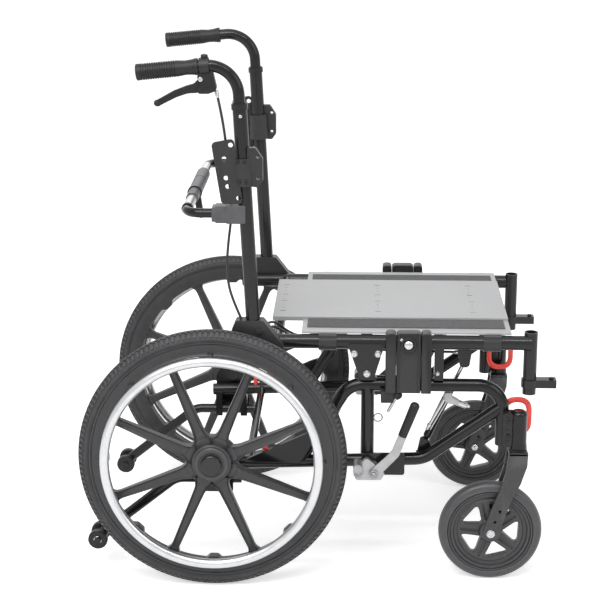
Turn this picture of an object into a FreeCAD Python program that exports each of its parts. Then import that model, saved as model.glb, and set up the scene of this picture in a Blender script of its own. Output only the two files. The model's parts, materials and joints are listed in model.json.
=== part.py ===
import FreeCAD, Part
import math
import os
from types import SimpleNamespace

import Sketcher
from FreeCAD import Placement, Rotation, Vector

# Driving sizes in millimetres and degrees. X runs forward from the rear axle, Y to the sitter's left
# from the middle of the chair, Z up from the floor. A "Spread" is a distance from the middle plane.
sizes = {
    # rear wheels
    "wheelRadius": 260, "wheelSpread": 284, "tyreWidth": 35, "tyreSeat": 236, "tyreCrown": 12,
    "rimInner": 209, "rimWidth": 24, "rimRound": 3, "spokeCount": 8, "spokeTipWidth": 13,
    "spokeRootWidth": 24, "spokeThick": 13, "spokeRootThick": 21, "spokeOffset": 1, "spokeSink": 5,
    "spokeRound": 2.5, "hubRadius": 33, "hubInset": 26, "hubReach": 34, "hubRound": 6,
    "hubCapRadius": 20, "hubCapThick": 7, "hubCapRound": 4, "axleDiameter": 12.7, "axleEndGap": 6,
    "handrimRadius": 205.5, "handrimTube": 19, "handrimOffset": 32, "handrimBoss": 9,
    # casters
    "casterRadius": 101.5, "casterSpread": 240, "casterTyreWidth": 32, "casterTyreSeat": 82,
    "casterTyreCrown": 11, "casterRimInner": 72, "casterRimInset": 3, "casterHubRadius": 21,
    "casterHubWidth": 34, "casterSpokeCount": 5, "casterSpokeWidth": 20, "casterSpokeThick": 10,
    "casterSpokeRootThick": 12, "casterSpokeTurn": 33, "casterAxleDiameter": 8, "casterTrail": 49,
    "swivelAxis": 590, "stemDiameter": 14, "stemLength": 66, "housingDiameter": 33, "housingFlare": 1.5,
    "housingBottom": 273, "housingHeight": 77, "housingRound": 9, "blockWidth": 26, "blockScrew": 6,
    "blockScrewStep": 24, "forkSideGap": 2, "forkTopGap": 3, "forkLegThick": 6, "forkCrownThick": 7,
    "forkTopWidth": 37, "forkShoulderDrop": 26, "forkBackDrop": 42, "forkBend": 14, "forkEyeRadius": 15,
    "forkWasherThick": 2.6, "casterBoltHead": 15, "casterBoltHeadThick": 4, "casterNut": 14,
    "casterNutThick": 6,
    # base frame
    "sideSpread": 226, "frameTube": 25.4, "lowerTube": 25, "frameWall": 2, "frameBend": 48,
    "upperTubeHeight": 395,
    "upperTubeRear": 262, "diagonalFoot": 165, "frontPost": 559, "frontPostBottom": 275,
    "lowerTubeRear": -42, "lowerTubeRearHeight": 228, "strutKnee": 408, "strutKneeHeight": 243,
    "strutTop": 556, "strutTopHeight": 350, "strutBend": 60, "middlePost": 298, "crossTube": 16,
    "crossTubeAhead": 66, "axlePlateLength": 72, "axlePlateBottom": 176, "axlePlateHeight": 109,
    "axlePlateShoulder": 30, "axlePlateSlope": 14, "axleNut": 24, "axleNutThick": 9, "axleRootSink": 10,
    "plateThick": 6, "plateRound": 5, "plateBoltHeight": 30, "plateBoltStep": 24, "smallHead": 9,
    "smallHeadThick": 3.5, "gussetRear": 284, "gussetFront": 371, "gussetBottom": 215, "gussetTop": 259,
    "gussetCorner": 32, "rearGussetLength": 114, "rearGussetRise": 66, "rearGussetFillet": 30,
    # tie-down loops
    "loopBar": 10, "loopLength": 79, "loopWidth": 59, "frontLoopAhead": 589, "frontLoopGap": 11,
    "frontLoopBoss": 12, "rearLoopAhead": 77, "rearLoopTop": 269, "rearLoopBend": 12, "loopSpread": 207,
    "loopInset": 3,
    # anti-tip arms
    "antiTipSpread": 206, "antiTipTube": 20, "antiTipHeight": 190, "antiTipKnee": -80,
    "antiTipBend": 45, "antiTipFront": 50, "armHolderLength": 14, "armHolderInset": 16,
    "armHolderRear": -34, "rollerAhead": -237, "rollerHeight": 64, "rollerRadius": 19.5,
    "rollerWidth": 14, "rollerPin": 8, "rollerGap": 4, "rollerCollar": 12,
    # wheel locks
    "lockSpread": 255, "lockThick": 12, "lockBodyRear": 270, "lockBodyLength": 63, "lockBodyBottom": 210,
    "lockBodyHeight": 46, "lockStand": 20, "leverPivotAhead": 311, "leverPivotHeight": 224, "leverThick": 4,
    "leverWidth": 17, "shoePivotAhead": 281, "shoePivotHeight": 226, "shoeRollerAhead": 280,
    "shoeRollerHeight": 248, "shoeRollerDiameter": 18, "lockPin": 7, "leverElbowAhead": 352,
    "leverElbowHeight": 266, "leverNeckAhead": 365, "leverNeckHeight": 302, "gripTopAhead": 391,
    "gripTopHeight": 371, "gripDiameter": 19,
    # gas springs
    "springSpread": 199, "springFootAhead": 410, "springFootHeight": 268, "springHeadAhead": 485,
    "springHeadHeight": 434, "springTube": 16, "springRod": 8, "springTubeLength": 112, "springPin": 6,
    "springEye": 9, "springHeadEyeWidth": 10, "springPinHead": 10, "eyeSlack": 1.1, "lugThin": 4,
    "lugMargin": 7, "bracketMargin": 8, "releaseLength": 16, "releaseWidth": 12, "releaseHeight": 14,
    # seat frame
    "railSpread": 226, "railTube": 28, "railHeight": 481, "railRear": 30, "receiverAhead": 610,
    "receiverSpread": 218, "receiverTube": 26, "receiverWall": 2.5, "receiverBottom": 377,
    "receiverTop": 501, "lugLength": 51, "lugHeight": 391, "lugThick": 16, "lugWidth": 22, "lugRingWall": 3,
    "lugStud": 9,
    "seatCrossTube": 22, "seatCrossRear": 122, "seatCrossFront": 400, "tiltPivotAhead": 296,
    "tiltPivotHeight": 421, "tiltLugThick": 12, "pivotBolt": 10, "pivotHead": 14, "pivotHeadThick": 4,
    "pivotPlateSpread": 234, "pivotPlateThick": 8, "pivotPlateRound": 6, "pivotEyeRadius": 13,
    "pivotBoltAhead": 271, "pivotBoltHeight": 461, "pivotBoltStep": 46, "pivotBoltMargin": 13,
    "stopAhead": 425, "stopWidth": 18, "stopThick": 12, "stopScrewRise": 14,
    # seat pan
    "panFront": 572, "panRear": 110, "flangeRear": 170, "panHalfWidth": 227, "panRise": 505,
    "panCentreHalfWidth": 142, "panThick": 3, "flangeTop": 500, "stripWidth": 56, "stripInset": 10,
    "stripThick": 2, "slotRowStart": 128, "slotRowRun": 379, "slotRows": 3, "slotSpread": 99,
    "slotLength": 12, "slotWidth": 4, "slotInner": 24, "holeOuter": 75, "holeInner": 52,
    "holeDiameter": 4, "saddleRear": 220, "saddleFront": 535, "saddleLength": 34, "saddleWall": 3,
    # armrest receivers
    "armAhead": 331, "armLength": 87, "armBottom": 392, "armHeight": 120, "armThick": 32, "armInner": 241,
    "armWall": 4, "armBarLength": 40, "armGrooveWidth": 3, "armGrooveDepth": 2, "armGrooveInset": 20,
    "armMountInset": 10, "armFootLength": 26, "armFootWidth": 11, "armFootHeight": 16, "armFootReach": 9,
    "buttonAhead": 374, "buttonHeight": 489, "buttonDiameter": 19, "buttonProud": 6, "buttonRound": 5,
    # back
    "caneSpread": 245, "caneTube": 27, "caneWall": 2, "caneFootAhead": 79.5, "caneFootHeight": 498,
    "caneTopHeight": 944, "caneLean": 3, "caneCollarRise": 2, "caneCollarHeight": 10,
    "caneBracketThick": 28, "caneBolt": 11, "caneBoltRise": 13, "handleTube": 22, "handleBend": 56,
    "handleSink": 46, "handleEndGap": 8, "gripCrestRise": 74, "gripFrontAhead": -18,
    "gripRearAhead": -133, "gripDrop": 6, "handGripDiameter": 31, "gripWaist": 2, "gripEndThick": 5,
    "barHeight": 736, "barReach": -47, "barTube": 18, "barBend": 30, "barSleeveWall": 3,
    "sleeveFront": 66, "sleeveRear": 10, "sleeveHeight": 32, "sleeveWidth": 30, "collarDrop": 154,
    "collarHeight": 52, "collarDiameter": 40, "rearPlateThick": 4, "frontPlateThick": 14,
    "plateHole": 9, "triggerPivotAhead": -14, "triggerPivotDrop": 33, "triggerTipAhead": -98,
    "triggerTipDrop": 78, "triggerThick": 6, "triggerPin": 6, "cheekThick": 3, "triggerRingWall": 4.5,
    "triggerRingLength": 15, "triggerKnob": 9, "cableDiameter": 5,
    # fits
    "runningFit": 0.05, "clearance": 0.4, "boltFit": 0.2, "weldSink": 1, "edgeRound": 2,
}

document = FreeCAD.newDocument("tilt_wheelchair")
sheet = document.addObject("Spreadsheet::Sheet", "dims")
for row, (alias, value) in enumerate(sizes.items(), 1):
    sheet.set(f"A{row}", alias)
    sheet.set(f"B{row}", str(value))
    sheet.setAlias(f"B{row}", alias)
document.recompute()


class Size:
    """A number and the sheet formula that gives it."""

    def __init__(self, value, text):
        self.value = value
        self.text = text

    def __add__(self, other):
        return Size(self.value + size(other).value, f"({self.text} + {size(other).text})")

    def __sub__(self, other):
        return Size(self.value - size(other).value, f"({self.text} - {size(other).text})")

    def __mul__(self, other):
        return Size(self.value * size(other).value, f"({self.text} * {size(other).text})")

    def __truediv__(self, other):
        return Size(self.value / size(other).value, f"({self.text} / {size(other).text})")

    def __radd__(self, other):
        return size(other) + self

    def __rsub__(self, other):
        return size(other) - self

    def __rmul__(self, other):
        return size(other) * self

    def __neg__(self):
        return Size(-self.value, f"(0 - {self.text})")


def size(value):
    return value if isinstance(value, Size) else Size(float(value), f"({value!r})")


def sine(angle):
    return Size(math.sin(math.radians(size(angle).value)), f"sin({size(angle).text})")


def cosine(angle):
    return Size(math.cos(math.radians(size(angle).value)), f"cos({size(angle).text})")


def reach(run, rise):
    return Size(math.hypot(run.value, rise.value), f"hypot({run.text}; {rise.text})")


def bearing(run, rise):
    """Angle in degrees of a line above the X direction."""
    angle = math.degrees(math.atan2(rise.value, run.value))
    return Size(angle, f"(atan2({rise.text}; {run.text}) / 1 deg)")


dim = SimpleNamespace(**{alias: Size(float(sheet.get(alias)), f"dims.{alias}") for alias in sizes})

# The origin is under the middle of the chair: half way from the rear tyre to the latch lugs' tips.
axle_x = (dim.wheelRadius - dim.receiverAhead - dim.lugLength) / 2

# Plates and levers with free outlines. Each corner counts from the place that the comment above it names.
# from the foot of the clamp on the cane
clampPlate = ((-60, 82), (-18, 90), (-2, -33), (-42, -33))
clampHoles = ((-24, 78), (-36, 52), (-33, 16), (-30, 0), (-10, -22))
clampBlock = ((6, 72), (22, 72), (35, 52), (35, 10), (26, -2), (6, 0))
clampBlockHoles = ((26, 55), (26, 15))
# from the foot of the cane
caneBlock = ((-43.5, 8), (-33.5, 32), (18.5, 32), (32.5, 14), (58.5, -20), (52.5, -28), (-19.5, -26))
caneBolts = (-29.5, 10.5)
# from the pivot of the hand lever
cheek = ((-10, 6), (18, 20), (30, -24), (12, -27), (-12, -8))
leverRoot = ((7, 6), (5, -12), (-40, -30))
leverBack = ((-42, -15), (-9, 7))
# from the tip of the hand lever
leverTip = ((0, -4), (-7, 2), (2, 6))

along = {
    "x": Rotation(Vector(0, 1, 0), 90),
    "y": Rotation(Vector(1, 0, 0), -90),
    "-y": Rotation(Vector(1, 0, 0), 90),
    "z": Rotation(),
}
nodes = []


def bind(piece, **formulas):
    for name, value in formulas.items():
        piece.setExpression(name, size(value).text)
    return piece


def place(piece, at, axis="z"):
    """Stand a piece at a point with its own Z along a direction, or leant by an angle in the XZ plane."""
    if isinstance(axis, Size):
        piece.Placement = Placement(Vector(), Rotation(Vector(0, 1, 0), 90 - axis.value))
        piece.setExpression("Placement.Rotation.Angle", f"(90 - {axis.text}) * 1 deg")
    else:
        piece.Placement = Placement(Vector(), along[axis])
    for letter, value in zip("xyz", at):
        piece.setExpression(f"Placement.Base.{letter}", size(value).text)
    return piece


def cylinder(name, diameter, length, at, axis="z"):
    piece = document.addObject("Part::Cylinder", name)
    return place(bind(piece, Radius=size(diameter) / 2, Height=length), at, axis)


def box(name, lengths, at):
    piece = document.addObject("Part::Box", name)
    return place(bind(piece, Length=lengths[0], Width=lengths[1], Height=lengths[2]), at)


def fuse(name, *pieces):
    joined = document.addObject("Part::MultiFuse", name)
    joined.Shapes = list(pieces)
    joined.Refine = True
    return joined


def cut(name, base, *tools):
    trimmed = document.addObject("Part::Cut", name)
    trimmed.Base = base
    trimmed.Tool = tools[0] if len(tools) == 1 else fuse(name + "_tools", *tools)
    trimmed.Refine = True
    return trimmed


def mirror(piece):
    """The same piece on the other side of the chair."""
    other = document.addObject("Part::Mirroring", piece.Name + "_mirrored")
    other.Source = piece
    other.Normal = Vector(0, 1, 0)
    return other


def node(name, *pieces):
    """One sub-part: its separate solids, moved from the axle's frame to the chair's."""
    group = document.addObject("Part::Compound", name)
    group.Label = name
    group.Links = list(pieces)
    group.setExpression("Placement.Base.x", axle_x.text)
    nodes.append(group)
    return group


def pair(name, *pieces):
    """A sub-part with the same pieces on both sides."""
    return node(name, *pieces, *[mirror(piece) for piece in pieces])


def both(name, *pieces):
    """Two sub-parts, one for each side."""
    node(name + "_right", *pieces)
    node(name + "_left", *[mirror(piece) for piece in pieces])


def rule(sketch, kind, *terms, value=None):
    value = None if value is None else size(value)
    numbers = terms if value is None else (*terms, value.value)
    index = sketch.addConstraint(Sketcher.Constraint(kind, *numbers))
    if value is not None:
        sketch.setExpression(f"Constraints[{index}]", value.text)


def fix(sketch, line, end, spot):
    rule(sketch, "DistanceX", -1, 1, line, end, value=spot[0])
    rule(sketch, "DistanceY", -1, 1, line, end, value=spot[1])


def outline(sketch, corners, bends, closed=True):
    """Straight lines from corner to corner, with a tangent arc at each corner whose bend isn't 0."""
    count = len(corners)
    spots = [Vector(size(x).value, size(z).value, 0) for x, z in corners]
    bends = [size(bend) for bend in bends]
    marks = []
    for index, spot in enumerate(spots):
        if bends[index].value == 0:
            marks.append((spot, spot, None))
            continue
        back = (spots[index - 1] - spot).normalize()
        ahead = (spots[(index + 1) % count] - spot).normalize()
        half = back.getAngle(ahead) / 2
        run = bends[index].value / math.tan(half)
        centre = spot + (back + ahead).normalize() * (bends[index].value / math.sin(half))
        marks.append((spot + back * run, spot + ahead * run, centre))
    sides = count if closed else count - 1
    lines = []
    for side in range(sides):
        line = Part.LineSegment(marks[side][1], marks[(side + 1) % count][0])
        lines.append(sketch.addGeometry(line))
    for index, (arrive, leave, centre) in enumerate(marks):
        arriving = lines[index - 1] if closed or index > 0 else None
        leaving = lines[index] if closed or index < sides else None
        if centre is None:
            fix(sketch, *((arriving, 2) if leaving is None else (leaving, 1)), corners[index])
            if arriving is not None and leaving is not None:
                rule(sketch, "Coincident", arriving, 2, leaving, 1)
            continue
        corner = sketch.addGeometry(Part.Point(spots[index]), True)
        fix(sketch, corner, 1, corners[index])
        rule(sketch, "PointOnObject", corner, 1, arriving)
        rule(sketch, "PointOnObject", corner, 1, leaving)
        left_turn = (spots[index] - arrive).cross(leave - spots[index]).z > 0
        first, last = (arrive, leave) if left_turn else (leave, arrive)
        angles = [math.atan2((end - centre).y, (end - centre).x) for end in (first, last)]
        circle = Part.Circle(centre, Vector(0, 0, 1), bends[index].value)
        arc = sketch.addGeometry(Part.ArcOfCircle(circle, *angles))
        start, end = (1, 2) if left_turn else (2, 1)
        rule(sketch, "Tangent", arriving, 2, arc, start)
        rule(sketch, "Tangent", arc, end, leaving, 1)
        rule(sketch, "Radius", arc, value=bends[index])
    return sides + sum(1 for mark in marks if mark[2])


def new_sketch(body, plane, offset=0):
    sketch = body.newObject("Sketcher::SketchObject", body.Name + "_sketch")
    sketch.AttachmentSupport = [(origin_part(body, plane + "_Plane"), "")]
    sketch.MapMode = "FlatFace"
    sketch.setExpression("AttachmentOffset.Base.z", size(offset).text)
    return sketch


def origin_part(body, role):
    return next(part for part in body.Origin.OriginFeatures if part.Role == role)


def new_body(name, at=(0, 0, 0), axis="z"):
    return place(document.addObject("PartDesign::Body", name), at, axis)


def bent_tube(name, corners, bend, diameter, at=(0, 0, 0), wall=None, plane="XZ", axis="z"):
    """A round bar or tube along straight runs and arcs in one plane."""
    body = new_body(name, at, axis)
    path = new_sketch(body, plane)
    bends = [0] + [bend] * (len(corners) - 2) + [0]
    edges = [f"Edge{number + 1}" for number in range(outline(path, corners, bends, closed=False))]
    steps = [("PartDesign::AdditivePipe", size(diameter) / 2)]
    if wall is not None:
        steps.append(("PartDesign::SubtractivePipe", size(diameter) / 2 - wall))
    for kind, radius in steps:
        section = body.newObject("Sketcher::SketchObject", name + "_section")
        section.AttachmentSupport = [(path, "Edge1")]
        section.MapMode = "NormalToEdge"
        ring = section.addGeometry(Part.Circle(Vector(), Vector(0, 0, 1), radius.value))
        rule(section, "Coincident", ring, 3, -1, 1)
        rule(section, "Radius", ring, value=radius)
        pipe = body.newObject(kind, name + "_pipe")
        pipe.Profile = section
        pipe.Spine = (path, edges)
    return body


def shift(start, corners):
    """Corners counted from a place."""
    return [(start[0] + x, start[1] + z) for x, z in corners]


def plate(name, corners, bends, thick, y, holes=()):
    """A flat plate in the XZ plane from y towards the middle of the chair, with round holes."""
    body = new_body(name, (0, y, 0))
    sketch = new_sketch(body, "XZ")
    outline(sketch, corners, bends)
    for spot, diameter in holes:
        centre = Vector(size(spot[0]).value, size(spot[1]).value, 0)
        ring = sketch.addGeometry(Part.Circle(centre, Vector(0, 0, 1), size(diameter).value / 2))
        fix(sketch, ring, 3, spot)
        rule(sketch, "Radius", ring, value=size(diameter) / 2)
    pad = body.newObject("PartDesign::Pad", name + "_pad")
    pad.Profile = sketch
    pad.Reversed = True
    pad.setExpression("Length", size(thick).text)
    return body


def add_turned(body, corners, bends):
    """A turned form about the body's own Z axis, from corners given as radius and height."""
    sketch = new_sketch(body, "XZ")
    outline(sketch, corners, bends)
    turn = body.newObject("PartDesign::Revolution", body.Name + "_turn")
    turn.Profile = sketch
    turn.ReferenceAxis = (sketch, ["V_Axis"])
    turn.Angle = 360
    return turn


def turned(name, corners, bends, at, axis="-y"):
    body = new_body(name, at, axis)
    add_turned(body, corners, bends)
    return body


def add_spokes(body, count, root, tip):
    """Tapered spokes about the body's Z axis. Each end is radius, height, thickness and width."""
    sections = []
    for radius, height, thick, width in (root, tip):
        sketch = new_sketch(body, "YZ", radius)
        low, high = size(height) - size(thick) / 2, size(height) + size(thick) / 2
        half = size(width) / 2
        outline(sketch, [(-half, low), (half, low), (half, high), (-half, high)], [dim.spokeRound] * 4)
        sections.append(sketch)
    spoke = body.newObject("PartDesign::AdditiveLoft", body.Name + "_spoke")
    spoke.Profile = sections[0]
    spoke.Sections = [sections[1]]
    spoke.Ruled = True
    document.recompute()
    ring = body.newObject("PartDesign::PolarPattern", body.Name + "_spokes")
    ring.Originals = [spoke]
    ring.Axis = (origin_part(body, "Z_Axis"), [""])
    ring.Angle = 360
    ring.setExpression("Occurrences", size(count).text)
    body.Tip = ring
    return ring


def ring_outline(inner, outer, low, high):
    return [(inner, low), (outer, low), (outer, high), (inner, high)]


def rear_wheels():
    """Moulded eight-spoke wheels. Each is turned about its own Z axis, which points outboard."""
    centre = (0, -dim.wheelSpread, dim.wheelRadius)
    half = dim.tyreWidth / 2
    edge = dim.edgeRound
    tyre = turned("rear_tyre", ring_outline(dim.tyreSeat, dim.wheelRadius, -half, half),
                  [edge, dim.tyreCrown, dim.tyreCrown, edge], centre)
    both("rear_tyre", tyre)

    wheel = new_body("mag_wheel", centre)
    bore = dim.axleDiameter / 2 + dim.runningFit
    add_turned(wheel, ring_outline(bore, dim.hubRadius, -dim.hubInset, dim.hubReach),
               [0, dim.hubRound / 2, dim.hubRound, 0])
    add_spokes(wheel, dim.spokeCount,
               (dim.hubRadius - dim.spokeSink, dim.hubReach / 2, dim.spokeRootThick, dim.spokeRootWidth),
               (dim.rimInner + dim.spokeSink, dim.spokeOffset, dim.spokeThick, dim.spokeTipWidth))
    add_turned(wheel, ring_outline(dim.rimInner, dim.tyreSeat, -dim.rimWidth / 2, dim.rimWidth / 2),
               [dim.rimRound, 0, 0, dim.rimRound])
    add_bosses(wheel)
    half_pitch = Rotation(Vector(0, 0, 1), 180 / dim.spokeCount.value)
    wheel.Placement = Placement(wheel.Placement.Base, along["-y"].multiply(half_pitch))
    both("mag_wheel", wheel)

    handrim = document.addObject("Part::Torus", "handrim")
    bind(handrim, Radius1=dim.handrimRadius, Radius2=dim.handrimTube / 2)
    place(handrim, (0, -dim.wheelSpread - dim.handrimOffset, dim.wheelRadius), "-y")
    both("handrim", handrim)

    top = dim.hubReach + dim.hubCapThick
    cap = turned("hub_cap", ring_outline(0, dim.hubCapRadius, dim.hubReach, top),
                 [0, edge / 2, dim.hubCapRound, 0], centre)
    both("hub_cap", cap)


def add_bosses(wheel):
    """Round bosses on the rim's outer face, midway between the spokes, that carry the handrim."""
    middle = dim.rimInner + dim.handrimBoss / 2
    turn = size(180) / dim.spokeCount
    root = dim.rimWidth / 2 - dim.weldSink
    seat = dim.handrimTube / 2 - dim.clearance / 2
    sketch = new_sketch(wheel, "XY", root)
    spot = (middle * cosine(turn), middle * sine(turn))
    ring = sketch.addGeometry(Part.Circle(Vector(spot[0].value, spot[1].value, 0), Vector(0, 0, 1),
                                          dim.handrimBoss.value / 2))
    fix(sketch, ring, 3, spot)
    rule(sketch, "Radius", ring, value=dim.handrimBoss / 2)
    boss = wheel.newObject("PartDesign::Pad", "boss")
    boss.Profile = sketch
    boss.setExpression("Length", (dim.handrimOffset - seat - root).text)
    document.recompute()
    bosses = wheel.newObject("PartDesign::PolarPattern", "bosses")
    bosses.Originals = [boss]
    bosses.Axis = (origin_part(wheel, "Z_Axis"), [""])
    bosses.Angle = 360
    bosses.setExpression("Occurrences", dim.spokeCount.text)
    wheel.Tip = bosses


def casters():
    """Front wheels in trailing forks, which swivel on stems."""
    eye_x = dim.swivelAxis - dim.casterTrail
    centre = (eye_x, -dim.casterSpread, dim.casterRadius)
    half = dim.casterTyreWidth / 2
    edge = dim.edgeRound
    tyre = turned("caster_tyre", ring_outline(dim.casterTyreSeat, dim.casterRadius, -half, half),
                  [edge, dim.casterTyreCrown, dim.casterTyreCrown, edge], centre)
    both("caster_tyre", tyre)

    wheel = new_body("caster_wheel", centre)
    bore = dim.casterAxleDiameter / 2 + dim.runningFit
    hub_half = dim.casterHubWidth / 2
    add_turned(wheel, ring_outline(bore, dim.casterHubRadius, -hub_half, hub_half), [0, edge, edge, 0])
    add_spokes(wheel, dim.casterSpokeCount,
               (dim.casterHubRadius - dim.spokeSink, 0, dim.casterSpokeRootThick, dim.casterSpokeWidth),
               (dim.casterRimInner + dim.spokeSink, 0, dim.casterSpokeThick, dim.casterSpokeWidth))
    rim_half = half - dim.casterRimInset
    add_turned(wheel, ring_outline(dim.casterRimInner, dim.casterTyreSeat, -rim_half, rim_half),
               [edge, 0, 0, edge])
    turn = Rotation(Vector(0, 0, 1), dim.casterSpokeTurn.value)
    wheel.Placement = Placement(wheel.Placement.Base, along["-y"].multiply(turn))
    both("caster_wheel", wheel)

    crown_top = dim.housingBottom - dim.forkTopGap
    gap = hub_half + dim.forkSideGap
    outer = gap + dim.forkLegThick
    rear, front = dim.swivelAxis - dim.forkTopWidth / 2, dim.swivelAxis + dim.forkTopWidth / 2
    eye = dim.forkEyeRadius
    corners = [(rear, crown_top), (front, crown_top), (front, crown_top - dim.forkShoulderDrop),
               (eye_x + eye * 1.35, dim.casterRadius - eye), (eye_x - eye, dim.casterRadius - eye),
               (eye_x - eye, dim.casterRadius + eye * 1.4), (rear, crown_top - dim.forkBackDrop)]
    hole = [((eye_x, dim.casterRadius), dim.casterAxleDiameter + dim.boltFit)]
    bends = [edge, edge, dim.forkBend] + [eye * 0.8] * 3 + [dim.forkBend]
    legs = [plate(f"fork_leg_{side}", corners, bends, dim.forkLegThick, y, hole)
            for side, y in (("outer", -dim.casterSpread - outer), ("inner", -dim.casterSpread + gap))]
    crown = box("fork_crown", (dim.forkTopWidth, outer * 2, dim.forkCrownThick),
                (rear, -dim.casterSpread - outer, crown_top - dim.forkCrownThick))
    stem = cylinder("fork_stem", dim.stemDiameter, dim.stemLength + dim.forkTopGap,
                    (dim.swivelAxis, -dim.casterSpread, crown_top - dim.weldSink))
    washer = cylinder("fork_washer", dim.housingDiameter - dim.housingRound / 2, dim.forkWasherThick,
                      (dim.swivelAxis, -dim.casterSpread, crown_top))
    fork = fuse("fork", crown, *legs, stem, washer)
    bolt = fuse("fork_bolt",
                cylinder("fork_bolt_shank", dim.casterAxleDiameter, outer * 2,
                         (eye_x, -dim.casterSpread - outer, dim.casterRadius), "y"),
                cylinder("fork_bolt_head", dim.casterBoltHead, dim.casterBoltHeadThick,
                         (eye_x, -dim.casterSpread - outer - dim.casterBoltHeadThick, dim.casterRadius), "y"),
                cylinder("fork_bolt_nut", dim.casterNut, dim.casterNutThick,
                         (eye_x, -dim.casterSpread + outer, dim.casterRadius), "y"))
    both("caster_fork", fork, bolt)


def upper_corners():
    low = lower_height(dim.diagonalFoot)
    return [(dim.diagonalFoot, low), (dim.upperTubeRear, dim.upperTubeHeight),
            (dim.frontPost, dim.upperTubeHeight), (dim.frontPost, dim.frontPostBottom)]


def lower_height(x):
    """Height of the lower tube's middle at a place along it."""
    rise = (dim.strutKneeHeight - dim.lowerTubeRearHeight) / (dim.strutKnee - dim.lowerTubeRear)
    return dim.lowerTubeRearHeight + (x - dim.lowerTubeRear) * rise


def base_frame():
    """Two side frames of bent tube with plates, joined by a low cross tube."""
    side = -dim.sideSpread
    tube = dim.frameTube
    lower_corners = [(dim.lowerTubeRear, dim.lowerTubeRearHeight), (dim.strutKnee, dim.strutKneeHeight),
                     (dim.strutTop, dim.strutTopHeight)]
    upper_form = bent_tube("upper_form", upper_corners(), dim.frameBend, tube, (0, side, 0))
    lower_tube = dim.lowerTube
    lower_form = bent_tube("lower_form", lower_corners, dim.strutBend, lower_tube, (0, side, 0))
    upper = bent_tube("upper_tube", upper_corners(), dim.frameBend, tube, (0, side, 0), dim.frameWall)
    lower = bent_tube("lower_tube", lower_corners, dim.strutBend, lower_tube, (0, side, 0), dim.frameWall)
    pair("upper_frame_tubes", cut("upper_coped", upper, lower_form))
    pair("lower_frame_tubes", cut("lower_coped", lower, upper_form))

    foot = lower_height(dim.middlePost)
    post = cylinder("post", tube, dim.upperTubeHeight - foot, (dim.middlePost, side, foot))
    post_bore = cylinder("post_bore", tube - dim.frameWall * 2, dim.upperTubeHeight - foot,
                         (dim.middlePost, side, foot))
    pair("frame_posts", cut("post_coped", post, post_bore, lower_form, upper_form))

    across = dim.sideSpread * 2
    cross_height = lower_height(dim.crossTubeAhead)
    cross = cylinder("cross", dim.crossTube, across, (dim.crossTubeAhead, side, cross_height), "y")
    node("frame_cross_tube", cut("cross_coped", cross, lower_form, mirror(lower_form)))

    outer = side - tube / 2 - dim.plateThick
    bend = dim.plateRound
    gusset = [(dim.gussetRear, dim.gussetTop), (dim.gussetFront, dim.gussetTop),
              (dim.gussetFront, dim.gussetBottom), (dim.gussetRear + dim.gussetCorner, dim.gussetBottom)]
    foot_x, foot_z = dim.diagonalFoot, lower_height(dim.diagonalFoot) + dim.edgeRound
    rise = dim.rearGussetRise
    rear_gusset = [(foot_x - dim.rearGussetLength, foot_z), (foot_x, foot_z),
                   (foot_x + rise * 0.55, foot_z + rise), (foot_x + rise * 0.15, foot_z + rise * 0.87)]
    web = plate("rear_gusset", rear_gusset, [bend / 2, bend / 2, bend, dim.rearGussetFillet], dim.plateThick,
                side - tube / 2)
    lock_gusset = plate("lock_gusset", gusset, [bend / 2, bend, bend, bend * 2], dim.plateThick, outer)
    pair("frame_gussets", lock_gusset,
         cut("rear_gusset_coped", web, lower_form, upper_form))

    plate_rear = -dim.axlePlateLength / 2
    axle_hole = [((0, dim.wheelRadius), dim.axleDiameter + dim.boltFit)]
    top = dim.axlePlateBottom + dim.axlePlateHeight
    shoulder, slope = top - dim.axlePlateShoulder, dim.axlePlateSlope
    corners = [(plate_rear, dim.axlePlateBottom), (-plate_rear, dim.axlePlateBottom),
               (-plate_rear, shoulder), (-plate_rear - slope, top), (plate_rear + slope, top),
               (plate_rear, shoulder)]
    axle_plate = plate("axle_plate", corners, [bend] * 6, dim.plateThick, outer, axle_hole)
    axle_end = dim.wheelSpread + dim.hubReach - dim.axleEndGap
    axle_root = dim.sideSpread + tube / 2 - dim.axleRootSink
    nut_y = -axle_root - dim.axleNutThick - dim.clearance
    axle = fuse("axle", cylinder("axle_shank", dim.axleDiameter, axle_end - axle_root,
                                 (0, -axle_end, dim.wheelRadius), "y"),
                cylinder("axle_nut", dim.axleNut, dim.axleNutThick, (0, nut_y, dim.wheelRadius), "y"))
    bolt_spots = [dim.plateBoltStep * part for part in (-0.5, 0.5)]
    bolts = [cylinder(f"plate_bolt_{number}", dim.smallHead, dim.smallHeadThick,
                      (x, outer - dim.smallHeadThick, dim.axlePlateBottom + dim.plateBoltHeight), "y")
             for number, x in enumerate(bolt_spots)]
    pair("axle_plates", axle_plate, axle, *bolts)
    caster_housings(upper_form)
    tie_downs(upper_form, lower_form)
    anti_tips(outer)
    pivot_lugs(upper_form, lower_form)


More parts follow.
